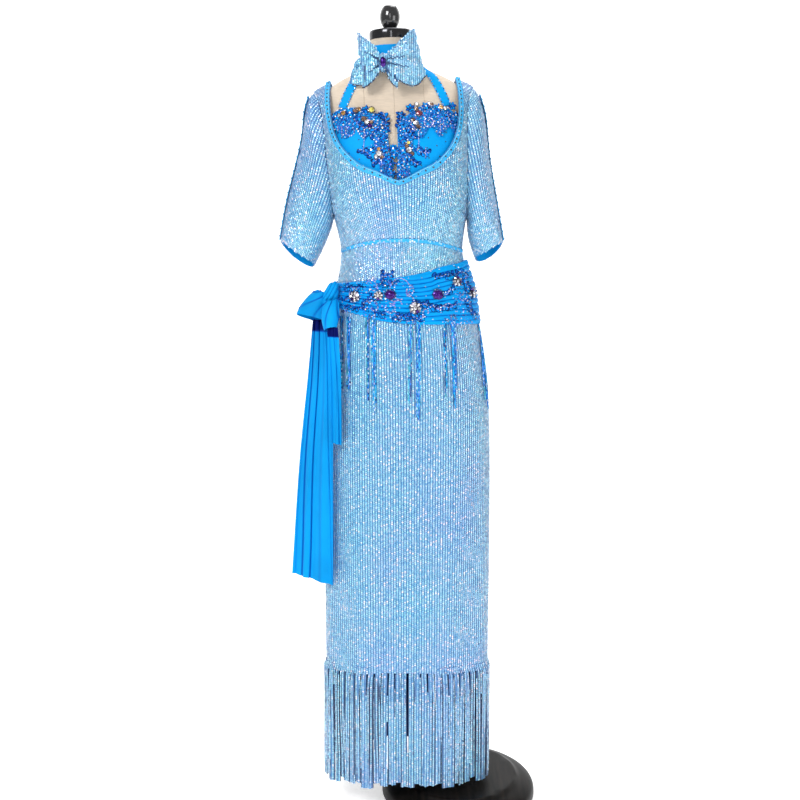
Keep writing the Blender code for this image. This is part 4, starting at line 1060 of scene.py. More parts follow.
class DRESS_OT_sleeves(bpy.types.Operator):
    """Make the two half sleeves with their cuff facings and overarm binding"""

    bl_idname = "dress.sleeves"
    bl_label = "Sleeves"

    def execute(self, context):
        for side, facing_length in (("left", 0.27), ("right", 0.19)):
            sleeve = cut(
                f"sleeve_{side}", "cloth", "sequin cloth", (0.33, 0.34), "hung", ["form_cover"],
                area=0.074, uv=sleeve_place(side),
            )
            cut(
                f"cuff_facing_{side}", "cloth", "satin", (facing_length, 0.034), "folded", [sleeve.name],
                levels=1,
            )
            cut(f"overarm_trim_{side}", "cloth", "trim", (0.032, 0.32), "laid", [sleeve.name])
            self.set_stones(side)
        return {"FINISHED"}

    def set_stones(self, side):
        """Two rows of stones down the overarm binding."""
        tree = tree_of(f"overarm_trim_{side}_cloth")
        top, run, _, _ = arm_axes(side)
        out = Vector((-1.0 if side == "left" else 1.0, 0.0, 0.35)).normalized()
        pitch = bpy.context.scene.dress_sizes.overarm_stone_pitch
        spots = []
        for k in range(-12, 20):
            for across in (-OVERARM_HALF, OVERARM_HALF):
                start = top + run * k * pitch + Vector((0.0, across, 0.0)) + out * ARM_RAY
                spot, normal, _, _ = tree.ray_cast(start, -out, 0.3)
                if spot:
                    spots.append((spot, facing(normal, out), run, (0.0020, 0.0020, 0.0015), (k, 1)))
        copies(f"overarm_{side}_stones", "stone", spots, "dark bead")


def sleeve_place(side):
    """A sleeve's own coordinates: ribs round the arm and sequins down it."""
    sizes = bpy.context.scene.dress_sizes
    top, run, front, rise = arm_axes(side)

    def place(p):
        d = p - top
        spread = math.atan2(d.dot(rise), d.dot(front)) * ARM_RADIUS
        return spread / sizes.rib_pitch, d.dot(run) / sizes.sequin_pitch

    return place


def lay_sleeve(tree, cover, side):
    """Sequin places in rows along a sleeve."""
    sizes = bpy.context.scene.dress_sizes
    top, run, front, rise = arm_axes(side)
    spots = []
    for column in range(SLEEVE_COLUMNS):
        a = 2 * math.pi * column / SLEEVE_COLUMNS
        out = front * math.cos(a) + rise * math.sin(a)
        for row in range(*SLEEVE_ROWS):
            start = top + run * (row + 0.5 * (column % 2)) * sizes.sequin_pitch + out * ARM_RAY
            spot, normal, _, _ = tree.ray_cast(start, -out, ARM_RAY)
            if spot is None:
                continue
            normal = facing(normal, out)
            if normal.dot(out) > 0.2 and not covered(cover, spot, normal):
                spots.append((spot, normal, (column, row + 500)))
    return spots


class DRESS_OT_sequins(bpy.types.Operator):
    """Lay the sequins on the bodice, skirt and sleeves"""

    bl_idname = "dress.sequins"
    bl_label = "Sequins"

    def execute(self, context):
        cover = tree_of(
            "hip_sash_satin", "waist_band_cloth", "neck_binding_front_cloth", "neck_binding_back_cloth",
            "hem_fringe_front_band", "hem_fringe_back_band",
        )
        for panel, levels, first_tint in (("skirt", (0.32, 1.26), 0), ("bodice", (1.20, 1.60), 1000)):
            for side in ("front", "back"):
                tree = tree_of(f"{panel}_{side}_cloth")
                found = lay_rows(tree, cover, side == "back", levels, first_tint)
                sew(f"{panel}_{side}_sequins", found, 0.11, len(found))
        for side in ("front", "back"):
            found = lay_rows(tree_of(f"hem_fringe_{side}_band"), None, side == "back", (0.05, 0.34), 2000)
            sew(f"hem_fringe_{side}_sequins", found, 0.13, len(found))
        for side in ("left", "right"):
            found = lay_sleeve(tree_of(f"sleeve_{side}_cloth"), tree_of(f"overarm_trim_{side}_cloth"), side)
            sew(f"sleeve_{side}_sequins", found, 0.11, len(found))
        rng = random.Random(5)
        found = lay_rows(tree_of("waist_band_cloth"), None, False, (1.19, 1.27), 3000)
        found = [place for place in found if rng.random() < 0.4]
        sew("waist_band_sequins", found, 0.15, 3)
        return {"FINISHED"}


class DRESS_OT_bindings(bpy.types.Operator):
    """Make the bound necklines and the waist band"""

    bl_idname = "dress.bindings"
    bl_label = "Bindings"

    def execute(self, context):
        for side, length, shape in (("front", 0.62, pointed), ("back", 0.42, None)):
            source = f"neck_binding_{side}"
            cut(source, "cloth", "trim", (length, 0.011), "laid", [f"bodice_{side}_cloth"], shape=shape)
            set_binding(source, side == "back", *NECKLINES[side])
        cut("waist_band", "cloth", "trim", (0.66, 0.010), "laid", ["bodice_front_cloth"])
        return {"FINISHED"}


KNOB_RADIUS = 0.0205


def full_knob(p, normal):
    """Fills the knob out into a full ball on a broad foot."""
    points = points_of(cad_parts["neck_knob"].data)
    low, high = reach(points, "z")
    middle = middle_of(points)
    flat = Vector((p.x - middle.x, p.y - middle.y, 0.0))
    if flat.length < 0.002:
        return Vector()
    share = (p.z - low) / (high - low)
    ball_here = KNOB_RADIUS * math.sqrt(max(1.0 - ((share - 0.52) / 0.60) ** 2, 0.0))
    return flat * ((max(ball_here, flat.length) - flat.length) / flat.length)


# A middle inside each neckline, and the turns at which its binding starts and ends there
NECKLINES = {
    "front": ((-0.142, 1.500), 65, 295),
    "back": ((-0.139, 1.640), 110, 250),
}
# Below this level, where the binding is wide in the front view, every second stone is a silver bead
WIDE_STONES_BELOW = 1.430


def set_binding(source, back, middle, first, last):
    """Small dark stones along a neck binding, and a bright cord at its inner edge."""
    pitch = bpy.context.scene.dress_sizes.binding_stone_pitch
    applique = Applique(tree_of(source + "_cloth"), 11, back)
    centre, inner = [], []
    for step in range(first * 2, last * 2 + 1):
        a = math.radians(step / 2)
        met = []
        for k in range(8, 130):
            r = 0.0015 * k
            x, z = middle[0] + r * math.sin(a), middle[1] + r * math.cos(a)
            if met_from_front(applique.tree, x, z, back):
                met.append(r)
        if not met:
            continue
        for path, r in ((centre, (met[0] + met[-1]) / 2), (inner, met[0] + 0.0012)):
            path.append((r * math.sin(a), r * math.cos(a)))
    if len(centre) < 40:
        raise RuntimeError(f"{source} has no path for its stones")
    for number, (u, v, heading) in enumerate(walked(centre, pitch)):
        x, z = middle[0] + u, middle[1] + v
        if number % 2 and z < WIDE_STONES_BELOW:
            applique.lay("bead", "silver bead", x, z, 0.0, evenly(0.0007), 0.0004)
        else:
            applique.lay("stone", "dark bead", x, z, heading, (0.0018, 0.0018, 0.0013), 0.0002)
    applique.row(inner, *middle, 0.0, 0.0036, (0.0008, 0.0019, 0.0008), ("cord",), "long bead")
    applique.finish(source)


# The cover's seams above the neckline, from the form's middle line, and one stitch of them
SEAM_PLACES = (-0.060, 0.0, 0.060)
SEAM_FOOT = 1.44
STITCH = (0.00035, 0.0022, 0.00035)
STITCH_PITCH = 0.0040


class DRESS_OT_form(bpy.types.Operator):
    """Make the form's linen cover, its neck cap and knob"""

    bl_idname = "dress.form"
    bl_label = "Dress form"

    def execute(self, context):
        smooth_copy("form_torso", "form_cover", "linen")
        ray_targets["form"] = tree_of("form_cover")
        seams = Applique(ray_targets["form"], 3)
        for x in SEAM_PLACES:
            path = [leaned(x, SEAM_FOOT + 0.01 * k) for k in range(15)]
            seams.row(path, 0.0, 0.0, 0.0, STITCH_PITCH, STITCH, ("thread",), "long bead")
        seams.finish("form_seams", "linen")
        smooth_copy("neck_cap", "neck_cap_turned", "chrome")
        smooth_copy("neck_knob", "neck_knob_turned", "black", shape=full_knob)
        return {"FINISHED"}


class DRESS_OT_stand(bpy.types.Operator):
    """Make the turned base and the pole"""

    bl_idname = "dress.stand"
    bl_label = "Stand"

    def execute(self, context):
        smooth_copy("stand_base", "stand_base_turned", "wood")
        smooth_copy("stand_pole", "stand_pole_tube", "steel")
        return {"FINISHED"}


class DRESS_OT_bra(bpy.types.Operator):
    """Make the padded cups, the bridge, the straps and the neck band"""

    bl_idname = "dress.bra"
    bl_label = "Bra top and halter"

    def execute(self, context):
        for side in ("left", "right"):
            cup = smooth_copy(f"bra_cup_{side}", f"bra_cup_{side}_pad", "satin")
            lay_strap(side)
            edge_strap(side)
        cups = ["bra_cup_left_pad", "bra_cup_right_pad"]
        cut("bra_bridge", "satin", "satin", (0.013, 0.024), "stretched", cups, levels=1)
        cut("neck_band", "satin", "satin", (0.33, 0.038), "laid", ["form_cover"])
        return {"FINISHED"}


# Each strap's middle line over the form, from its cup to under the neck band
STRAP_LINES = {
    "left": (
        (-0.2478, -0.052, 1.502), (-0.2360, -0.047, 1.533), (-0.2220, -0.039, 1.560),
        (-0.2090, -0.033, 1.577), (-0.1990, -0.030, 1.592),
    ),
    "right": (
        (-0.0355, -0.052, 1.507), (-0.0480, -0.047, 1.537), (-0.0625, -0.039, 1.565),
        (-0.0770, -0.033, 1.582), (-0.0900, -0.030, 1.596),
    ),
}
STRAP_HALF = 0.0093
STRAP_OFF = 0.0022
SATIN_WALL = 0.0014
# The level that a strap's stones reach, and how much longer its slanting edge is than its rise
STRAP_STONES_TOP = 1.572
STRAP_SLANT = 1.15


def lay_strap(side):
    """A satin ribbon that follows the form."""
    line = [Vector(p) for p in STRAP_LINES[side]]
    form = ray_targets["form"]
    middle = [form.find_nearest(a.lerp(b, k / 9)) for a, b in zip(line, line[1:]) for k in range(9)]
    last = len(middle) - 1
    rows = []
    for k, (spot, normal, _, _) in enumerate(middle):
        along = middle[min(k + 2, last)][0] - middle[max(k - 2, 0)][0]
        across = along.cross(normal).normalized()
        near = [form.find_nearest(spot + across * STRAP_HALF * (i / 4 - 1)) for i in range(9)]
        rows.append([(p + n * STRAP_OFF, n) for p, n, _, _ in near])
    return walled_sheet(f"halter_strap_{side}", "satin", rows, SATIN_WALL)


def edge_strap(side):
    """Stones along both edges of a halter strap."""
    pitch = bpy.context.scene.dress_sizes.strap_stone_pitch
    name = f"halter_strap_{side}_satin"
    applique = Applique(tree_of(name), 21)
    low, _ = reach(points_of(pieces[name].data), "z")
    for k in range(1, int((STRAP_STONES_TOP - low) / pitch * STRAP_SLANT)):
        z = low + k * pitch / STRAP_SLANT
        met = [x / 1000 for x in range(-260, 0) if met_from_front(applique.tree, x / 1000, z)]
        if len(met) < 8:
            continue
        for number, x in enumerate((met[1], met[-2])):
            tint = ("dark bead", "silver bead")[(k + number) % 2]
            applique.lay("stone", tint, x, z, 0.3, (0.0013, 0.0013, 0.0012), 0.0002)
    applique.finish(f"halter_strap_{side}")


# Lace and stones on the cups, in the form's own frame: kind, x, level, half size, turn
CUP_MOTIFS = {
    "left": (
        ("flower", -0.1180, 1.4870, 0.0080, 10), ("flower", -0.0890, 1.4930, 0.0085, 30),
        ("flower", -0.0560, 1.4980, 0.0080, 0), ("flower", -0.0330, 1.4840, 0.0075, 20),
        ("sprig", -0.0215, 1.4760, 0.0140, -10), ("flower", -0.0180, 1.4560, 0.0075, 40),
        ("flower", -0.0250, 1.4380, 0.0080, 0), ("sprig", -0.0420, 1.4520, 0.0120, -140),
        ("flower", -0.0230, 1.4180, 0.0080, 15), ("flower", -0.0500, 1.4170, 0.0080, 5),
        ("sprig", -0.0630, 1.4120, 0.0120, -60), ("flower", -0.0180, 1.3980, 0.0075, 25),
        ("sprig", -0.0380, 1.3960, 0.0120, -120), ("flower", -0.0160, 1.3790, 0.0070, 0),
        ("ring", -0.0900, 1.4550, 0.0088, 20), ("drop", -0.1060, 1.4640, 0.0200, 0),
        ("drop", -0.1140, 1.4680, 0.0130, 0), ("drop", -0.0620, 1.4440, 0.0300, 4),
        ("drop", -0.0300, 1.4100, 0.0240, 0), ("sprig", -0.0700, 1.4690, 0.0130, 130),
        ("line", -0.0560, 1.4600, 0.0220, -155), ("flower", -0.1020, 1.4780, 0.0065, 0),
        ("flower", -0.0720, 1.4820, 0.0070, 12), ("flower", -0.0070, 1.4185, 0.0075, 0),
        ("flower", -0.0060, 1.4060, 0.0070, 25), ("flower", -0.0100, 1.3900, 0.0060, 10),
        ("flower", -0.0095, 1.3700, 0.0060, 30), ("flower", -0.0130, 1.3560, 0.0060, 0),
    ),
    "right": (
        ("flower", 0.0130, 1.4840, 0.0080, 10), ("sprig", 0.0080, 1.4760, 0.0130, 5),
        ("flower", 0.0310, 1.4980, 0.0085, 0), ("flower", 0.0620, 1.5010, 0.0080, 24),
        ("flower", 0.0880, 1.4970, 0.0080, 0), ("flower", 0.1150, 1.5010, 0.0080, 18),
        ("flower", 0.0160, 1.4560, 0.0080, 30), ("flower", 0.0130, 1.4350, 0.0080, 0),
        ("sprig", 0.0330, 1.4480, 0.0120, 150), ("flower", 0.0120, 1.4140, 0.0080, 20),
        ("flower", 0.0420, 1.4170, 0.0080, 8), ("sprig", 0.0520, 1.4120, 0.0120, 100),
        ("flower", 0.0130, 1.3930, 0.0075, 25), ("sprig", 0.0320, 1.3950, 0.0120, 130),
        ("flower", 0.0120, 1.3740, 0.0065, 0), ("ring", 0.0660, 1.4680, 0.0092, -15),
        ("drop", 0.0450, 1.4500, 0.0320, 0), ("drop", 0.0890, 1.4720, 0.0260, 0),
        ("drop", 0.0960, 1.4740, 0.0150, 0), ("drop", 0.0570, 1.4200, 0.0200, 0),
        ("line", 0.0330, 1.4700, 0.0200, 170), ("sprig", 0.1080, 1.4780, 0.0110, 160),
        ("flower", 0.1210, 1.4830, 0.0065, 0), ("flower", 0.0780, 1.4830, 0.0065, 0),
        ("flower", 0.0010, 1.4130, 0.0070, 15), ("flower", 0.0030, 1.3880, 0.0060, 0),
        ("flower", 0.0035, 1.3680, 0.0060, 20), ("flower", 0.0040, 1.3560, 0.0055, 0),
    ),
}
# Cut stones on the cups: x, level, half size, finish
CUP_STONES = {
    "left": (
        (-0.0458, 1.4965, 0.0058, "yellow"), (-0.0768, 1.4965, 0.0052, "brown stone"),
        (-0.0710, 1.4990, 0.0040, "amber"), (-0.1022, 1.4930, 0.0045, "amber"),
        (-0.1110, 1.4890, 0.0034, "crystal"), (-0.0615, 1.4790, 0.0048, "brown stone"),
        (-0.0560, 1.4730, 0.0046, "crystal"), (-0.0501, 1.4650, 0.0042, "gem"),
        (-0.0470, 1.4720, 0.0036, "brown stone"), (-0.0351, 1.4100, 0.0050, "crystal"),
        (-0.0400, 1.4040, 0.0042, "crystal"), (-0.0300, 1.4020, 0.0038, "brown stone"),
        (-0.0350, 1.4180, 0.0034, "amber"), (-0.0260, 1.4600, 0.0026, "crystal"),
        (-0.0180, 1.4700, 0.0026, "blue stone"),
    ),
    "right": (
        (0.0478, 1.4870, 0.0056, "red"), (0.0430, 1.4950, 0.0036, "brown stone"),
        (0.0407, 1.4670, 0.0048, "crystal"), (0.0350, 1.4740, 0.0038, "brown stone"),
        (0.0450, 1.4600, 0.0040, "brown stone"), (0.0728, 1.5035, 0.0050, "brown stone"),
        (0.0690, 1.5060, 0.0034, "crystal"), (0.0925, 1.4985, 0.0048, "amber"),
        (0.1000, 1.4960, 0.0034, "crystal"), (0.0241, 1.4150, 0.0052, "crystal"),
        (0.0200, 1.4230, 0.0036, "brown stone"), (0.0300, 1.4080, 0.0038, "brown stone"),
        (0.0240, 1.4290, 0.0030, "yellow"), (0.0440, 1.5050, 0.0040, "crystal"),
    ),
}
# Gaps between small sequins on the lace and between studs on the cups, and a small sequin's half width
LACE_GAP = 0.0052
CUP_STUD_GAP = 0.017
SPANGLE = 0.0015
LACE_TINTS = ("navy bead", "silver bead", "silver bead", "blue bead", "silver bead", "violet bead")


class DRESS_OT_cup_lace(bpy.types.Operator):
    """Lay the corded lace, its beads and its stones on the cups"""

    bl_idname = "dress.cup_lace"
    bl_label = "Cup lace"

    def execute(self, context):
        for side in ("left", "right"):
            pad = f"bra_cup_{side}_pad"
            ground = cut(
                f"cup_lace_{side}", "ground", "lace ground", (0.13, 0.13), "laid", [pad],
                levels=1, area=0.0062,
            )
            worn = tree_of(ground.name, pad, "bra_bridge_satin")
            lace = Applique(worn, 31, under=ray_targets["form"])
            corners = points_of(ground.data)
            (x0, x1), (z0, z1) = reach(corners, "x"), reach(corners, "z")
            box = (x0, z0, x1, z1)
            lace.sprinkle(tree_of(ground.name), box, LACE_GAP, LACE_TINTS, SPANGLE)
            for x, z in lace.sprinkle(tree_of(pad), box, CUP_STUD_GAP, (), 0.0):
                lace.lay("stone", "dark bead", x, z, 0.0, (0.0013, 0.0013, 0.0010), 0.0002)
            lace.draw(CUP_MOTIFS[side], leaned)
            for x, level, size, tint in CUP_STONES[side]:
                lace.stone(*leaned(x, level), size, tint)
            lace.finish(f"cup_{side}")
        return {"FINISHED"}


# The bow's parts and the flat sizes they are cut to
BOW_PARTS = {
    "loop_left": (0.07, 0.10),
    "loop_right": (0.12, 0.10),
    "tail_left": (0.058, 0.05),
    "tail_right": (0.022, 0.035),
}
BOW_LEFT = -0.225
BOW_FOOT = 1.535
# The bow's sequins lie closer than the dress's, by these shares of its pitches
BOW_RIBS = 0.78
BOW_ROWS = 0.80


class DRESS_OT_bow(bpy.types.Operator):
    """Make the neck bow"""

    bl_idname = "dress.bow"
    bl_label = "Neck bow"

    def execute(self, context):
        for part, flat in BOW_PARTS.items():
            cut(
                f"bow_{part}", "cloth", "sequin cloth", flat, "gathered", ["neck_band_satin"],
                levels=3, shape=bow_pleat, uv=bow_place,
            )
        knot = smooth_copy("bow_knot", "bow_knot_cloth", "sequin cloth", 2, full_knot, bow_place)
        gem = smooth_copy("bow_gem", "bow_gem_stone", "gem", 0)
        whole = tree_of(*(f"bow_{part}_cloth" for part in (*BOW_PARTS, "knot")))
        self.lay_sequins(whole, tree_of(gem.name))
        self.set_edge(whole, middle_of(points_of(gem.data)))
        return {"FINISHED"}

    def lay_sequins(self, whole, gem):
        """Sequins on both sides of the bow, with none in its front creases or under its stone."""
        sizes = bpy.context.scene.dress_sizes
        for side in ("front", "back"):
            back = side == "back"
            found = []
            for column in range(54):
                for row in range(58):
                    x = BOW_LEFT + column * sizes.rib_pitch * BOW_RIBS
                    z = BOW_FOOT + (row + 0.5 * (column % 2)) * sizes.sequin_pitch * BOW_ROWS
                    met = met_from_front(whole, x, z, back)
                    if met is None or abs(met[1].y) < 0.25:
                        continue
                    if back or not (met_from_front(gem, x, z) or bow_crease(met[0]) > 0.40):
                        found.append((*met, (column, row + 4000)))
            sew(f"bow_{side}_sequins", found, 0.16, 9)

    def set_edge(self, whole, middle):
        """Dark beads along the bow's lower edge and round its stone."""
        edge = Applique(whole, 41)
        levels = [1.53 + k * 0.0006 for k in range(150)]
        for column in range(150):
            x = BOW_LEFT + column * 0.0012
            low = next((z for z in levels if met_from_front(whole, x, z)), None)
            if low:
                tint = "dark bead" if column % 4 else "navy bead"
                edge.lay("bead", tint, x, low + 0.0003, 0.0, (0.0016, 0.0013, 0.0014), 0.0008)
        ring = [(u, v * 1.35) for u, v in arc(0.0062, 0.0, 2 * math.pi)]
        edge.row(ring, middle.x, middle.z, 0.0, 0.0021, evenly(0.0010), ("dark bead",))
        edge.finish("bow_edge", "bead_strings")


def full_knot(p, normal):
    """Spreads the knot over the ends of the loops, with two pinched pleats."""
    pinch = 0.0010 * math.sin((p.z - 1.58) * 520)
    return Vector((0.0045 * normal.x, normal.y * (0.0012 + pinch), normal.z * 0.0035))


def bow_place(p):
    """The bow's own coordinates, with finer ribs than the dress has."""
    sizes = bpy.context.scene.dress_sizes
    return p.x / sizes.rib_pitch * 1.6, p.z / sizes.sequin_pitch * 1.6


BOW_MIDDLE = Vector((-0.167, 0.0, 1.612))
BOW_PLEATS = 11
BOW_PLEAT_DEPTH = 0.0021
CREASE_HALF = 0.0024
# Creases that run out from the bow's knot: where each starts and ends, in x and level
BOW_CREASES = tuple(
    (Vector(start), Vector(end))
    for start, end in (
        ((-0.1700, 1.5830), (-0.1910, 1.5685)), ((-0.1605, 1.5780), (-0.1490, 1.5610)),
        ((-0.1580, 1.5930), (-0.1180, 1.5990)), ((-0.1560, 1.5860), (-0.1130, 1.5780)),
        ((-0.1730, 1.5930), (-0.2000, 1.6060)), ((-0.1420, 1.5600), (-0.1330, 1.5450)),
        ((-0.2020, 1.5800), (-0.2010, 1.5480)),
    )
)


def bow_crease(p):
    """How deep in one of the bow's creases a point lies, from 0 to 1."""
    deepest = 0.0
    for start, end in BOW_CREASES:
        run = end - start
        share = clamped((p.xz - start).dot(run) / run.length_squared)
        off = (p.xz - start - run * share).length
        deepest = max(deepest, math.exp(-((off / CREASE_HALF) ** 2)) * (1.0 - 0.5 * share))
    return deepest


def bow_pleat(p, normal):
    """Pleats that spread from the bow's knot, with the left loop's upper corner drawn up to a peak, and
    painted shade in its creases.
    """
    a = math.atan2(p.z - BOW_MIDDLE.z, p.x - BOW_MIDDLE.x)
    r = math.hypot(p.z - BOW_MIDDLE.z, p.x - BOW_MIDDLE.x)
    fold = math.sin(a * BOW_PLEATS + 2.2 * noise.noise(Vector((a * 2, r * 20, 0.0))))
    height = BOW_PLEAT_DEPTH * fold * min(r / 0.02, 1.0) * (1 if normal.y < 0 else -1)
    crease = bow_crease(p)
    if normal.y < -0.2:
        height -= 0.0020 * crease
    peak = 0.0
    if p.x < BOW_MIDDLE.x + 0.001:
        peak = clamped((p.x + 0.205) / 0.025) * clamped((p.z - 1.596) / 0.016)
    # The crease depth is also stored as painted shade
    return normal * height + Vector((0.0015 * peak, 0.0, 0.0110 * peak)), crease


class DRESS_OT_sash(bpy.types.Operator):
    """Make the wrapped hip sash, its knot, loops and tails"""

    bl_idname = "dress.sash"
    bl_label = "Hip sash"

    def execute(self, context):
        find_sash_edges()
        panels = ["skirt_front_cloth", "skirt_back_cloth"]
        cut("hip_sash", "satin", "satin", (0.82, 0.12), "gathered", panels, levels=3, shape=wrinkle)
        knot = smooth_copy("sash_knot", "sash_knot_satin", "satin", 3, spread_knot)
        for part, flat in (("outer", (0.16, 0.08)), ("inner", (0.10, 0.07))):
            cut(f"sash_loop_{part}", "satin", "satin", flat, "gathered", [knot.name], levels=3, shape=gather)
        for part, flat in (("long", (0.105, 0.54)), ("short", (0.036, 0.24))):
            hang_tail(part)
        return {"FINISHED"}


sash_edges = {}
SASH_PLEATS = 12
SASH_PLEAT_DEPTH = 0.0048


def find_sash_edges():
    """The sash's lower and upper levels, at the angles where both its edges have points."""
    levels = {}
    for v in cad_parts["hip_sash"].data.vertices:
        levels.setdefault(round(turn(v.co) / 6) * 6, []).append(v.co.z)
    width = {a: max(zs) - min(zs) for a, zs in levels.items()}
    whole = {a: max(w for b, w in width.items() if abs((a - b + 180) % 360 - 180) < 20) for a in width}
    angles = [a for a in sorted(width) if width[a] > 0.8 * whole[a]]
    sash_edges.update(
        angles=angles, low=[min(levels[a]) for a in angles], high=[max(levels[a]) for a in angles]
    )


def wrinkle(p, normal):
    """Soft pleats round the hip between the sash's two edges, with a crease between each two that is darkened
    with painted shade.
    """
    if normal.dot(away(p)) < 0.3:
        return 0.0
    a = turn(p)
    low, high = (np.interp(a, sash_edges["angles"], sash_edges[k], period=360) for k in ("low", "high"))
    share = (p.z - low) / max(high - low, 0.02)
    u, v = math.sin(math.radians(a)), math.cos(math.radians(a))
    drift = 0.55 * noise.noise(Vector((1.7 * u, share * 2.0, 3.0 + 1.7 * v)))
    fold = abs(math.sin(math.pi * (share * SASH_PLEATS + drift)))
    depth = 0.7 + 0.6 * noise.noise(Vector((2.8 * u, share * 6.0, 9.0 + 2.8 * v)))
    fine = 0.0005 * noise.noise(Vector((a * 0.05, p.z * 260, 0.0)))
    fade = clamped(min(share, 1 - share) * 9)
    # Painted shade, deepest down in each crease
    crease = fade * min(depth * 1.8, 1.0) * max(0.0, 1.0 - fold / 0.45)
    return fade * SASH_PLEAT_DEPTH * depth * (fold**0.5 - 0.8) + fine, crease


KNOT_MIDDLE = Vector((-0.2620, -0.055, 1.1385))


def spread_knot(p, normal):
    """Draws the knot down and out over the loops' ends, with creases that run on into them and painted shade
    in those creases.
    """
    low = clamped((1.150 - p.z) / 0.028)
    left = clamped((KNOT_MIDDLE.x - p.x) / 0.018)
    crease = abs(math.sin((p.x - 0.7 * p.z) * 300))
    dive = 0.0070 * low * low if normal.y < 0.2 else 0.0
    move = Vector((-0.0060 * low - 0.0080 * left * low, dive, -0.0170 * low - 0.0100 * left))
    # The second value is painted shade in the knot's creases
    return move + normal * (0.0010 + 0.0030 * (crease**0.5 - 0.8)), 0.8 * max(0.0, 1.0 - crease / 0.30)


def gather(p, normal):
    """Creases that spread over a loop from the knot with painted shade in them, and painted dark shade on the
    faces in its mouth.
    """
    d = (p - KNOT_MIDDLE).xz
    a = math.atan2(d.y, d.x)
    crease = abs(math.sin(a * 7 + 1.6 * noise.noise(Vector((a * 1.5, d.length * 12, 1.0)))))
    fade = min(d.length / 0.02, 1.0) * max(0.0, 1.0 - d.length / 0.12)
    height = 0.0044 * (crease**0.4 - 0.8) * fade * (1 if normal.y < 0 else -1)
    mouth_shade = normal.z < -0.15 and normal.y > -0.2 and normal.x > -0.4
    # Painted shade in the creases, and the loop mouth's painted dark shade
    return height, max(1.6 * fade * max(0.0, 1.0 - crease / 0.38), 0.9 * mouth_shade)


# Folds of the tails: share of the width at the top and at the lower end, half width, depth
TAIL_FOLDS = {
    "long": (
        (0.06, 0.07, 0.020, 0.0015), (0.14, 0.235, 0.026, 0.0045), (0.40, 0.43, 0.020, 0.0040),
        (0.62, 0.66, 0.050, 0.0012), (0.74, 0.98, 0.016, 0.0020), (0.88, 1.02, 0.020, 0.0015),
    ),
    "short": ((0.22, 0.12, 0.060, 0.0012), (0.55, 0.78, 0.050, 0.0022), (0.80, 0.40, 0.050, 0.0012)),
}
# Cells down and across each tail
TAIL_GRIDS = {"long": (150, 84), "short": (80, 40)}
TAIL_WAVE = 0.000675
TAIL_INSET = 0.0004
# The level above which each tail reaches into its loop's mouth and is painted with the mouth's dark shade
TAIL_MOUTH_SHADE_LEVELS = {"long": 1.0520, "short": 1.0430}


def crossing(mesh, level):
    """The lowest and highest x at which a mesh's edges cross a level."""
    found = []
    for edge in mesh.edges:
        a, b = (mesh.vertices[i].co for i in edge.vertices)
        if (a.z - level) * (b.z - level) <= 0.0 and a.z != b.z:
            found.append(a.x + (b.x - a.x) * (level - a.z) / (b.z - a.z))
    return min(found), max(found)


def hang_tail(part):
    """A hanging tail as one even grid on its frame node's outline, with sharp folds down its length, painted
    shade in the folds and the loop mouth's painted shade at its top.
    """
    source = f"sash_tail_{part}"
    mesh = frame_mesh(source, source + "_outline")
    points = points_of(mesh)
    tree = BVHTree.FromPolygons(points, [tuple(p.vertices) for p in mesh.polygons])
    low = [min(points, key=lambda q: q.z + sign * q.x).z + 0.0005 for sign in (1, -1)]
    high = [max(points, key=lambda q: q.z - sign * q.x).z - 0.0005 for sign in (1, -1)]
    tall, wide = TAIL_GRIDS[part]
    rows, creases = [], []
    for j in range(tall + 1):
        t = j / tall
        levels = [low[k] + (high[k] - low[k]) * t for k in (0, 1)]
        edges = crossing(mesh, levels[0])[0], crossing(mesh, levels[1])[1]
        row = []
        for i in range(wide + 1):
            s = i / wide
            inset = TAIL_INSET if i == 0 else -TAIL_INSET if i == wide else 0.0
            x, z = edges[0] + (edges[1] - edges[0]) * s + inset, levels[0] + (levels[1] - levels[0]) * s
            met = met_from_front(tree, x, z)
            y = met[0].y if met else tree.find_nearest(Vector((x, -0.09, z)))[0].y
            height, crease = tail_fold(TAIL_FOLDS[part], s, t)
            # Painted dark shade where the tail's top reaches into its loop's mouth
            crease = max(crease, 2.0 * clamped((z - TAIL_MOUTH_SHADE_LEVELS[part]) / 0.0015))
            row.append((Vector((x, y + height, z)), Vector((0.0, -1.0, 0.0))))
            creases.append(crease)
        rows.append(row)
    sheet = walled_sheet(source, "tail satin", rows, SATIN_WALL, creases)
    bpy.data.meshes.remove(mesh)
    return sheet


def tail_fold(folds, s, t):
    """How far a tail is pushed in at a share of its width and of its height, and how much painted crease
    shade it gets there.
    """
    height = -TAIL_WAVE * (1 + math.sin(2 * math.pi * (s * 1.6 + 0.2)))
    crease = 0.0
    for top, end, half, depth in folds:
        middle = end + (top - end) * t + 0.010 * math.sin(9 * t + 30 * end)
        off = (s - middle) / half
        height += depth * math.exp(-off * off)
        crease = max(crease, min(depth / 0.0040, 1.0) * math.exp(-((off / 0.75) ** 2)))
    return height, crease


class DRESS_OT_hem_fringe(bpy.types.Operator):
    """Make the cut strips at the hem"""

    bl_idname = "dress.hem_fringe"
    bl_label = "Hem fringe"

    def execute(self, context):
        for side in ("front", "back"):
            cut(
                f"hem_fringe_{side}", "band", "sequin cloth", (0.52, 0.27), "hung", [f"skirt_{side}_cloth"],
                area=0.105, shape=fringe_move, uv=rib_place(side == "back"), inner="painted inner shade",
            )
        return {"FINISHED"}


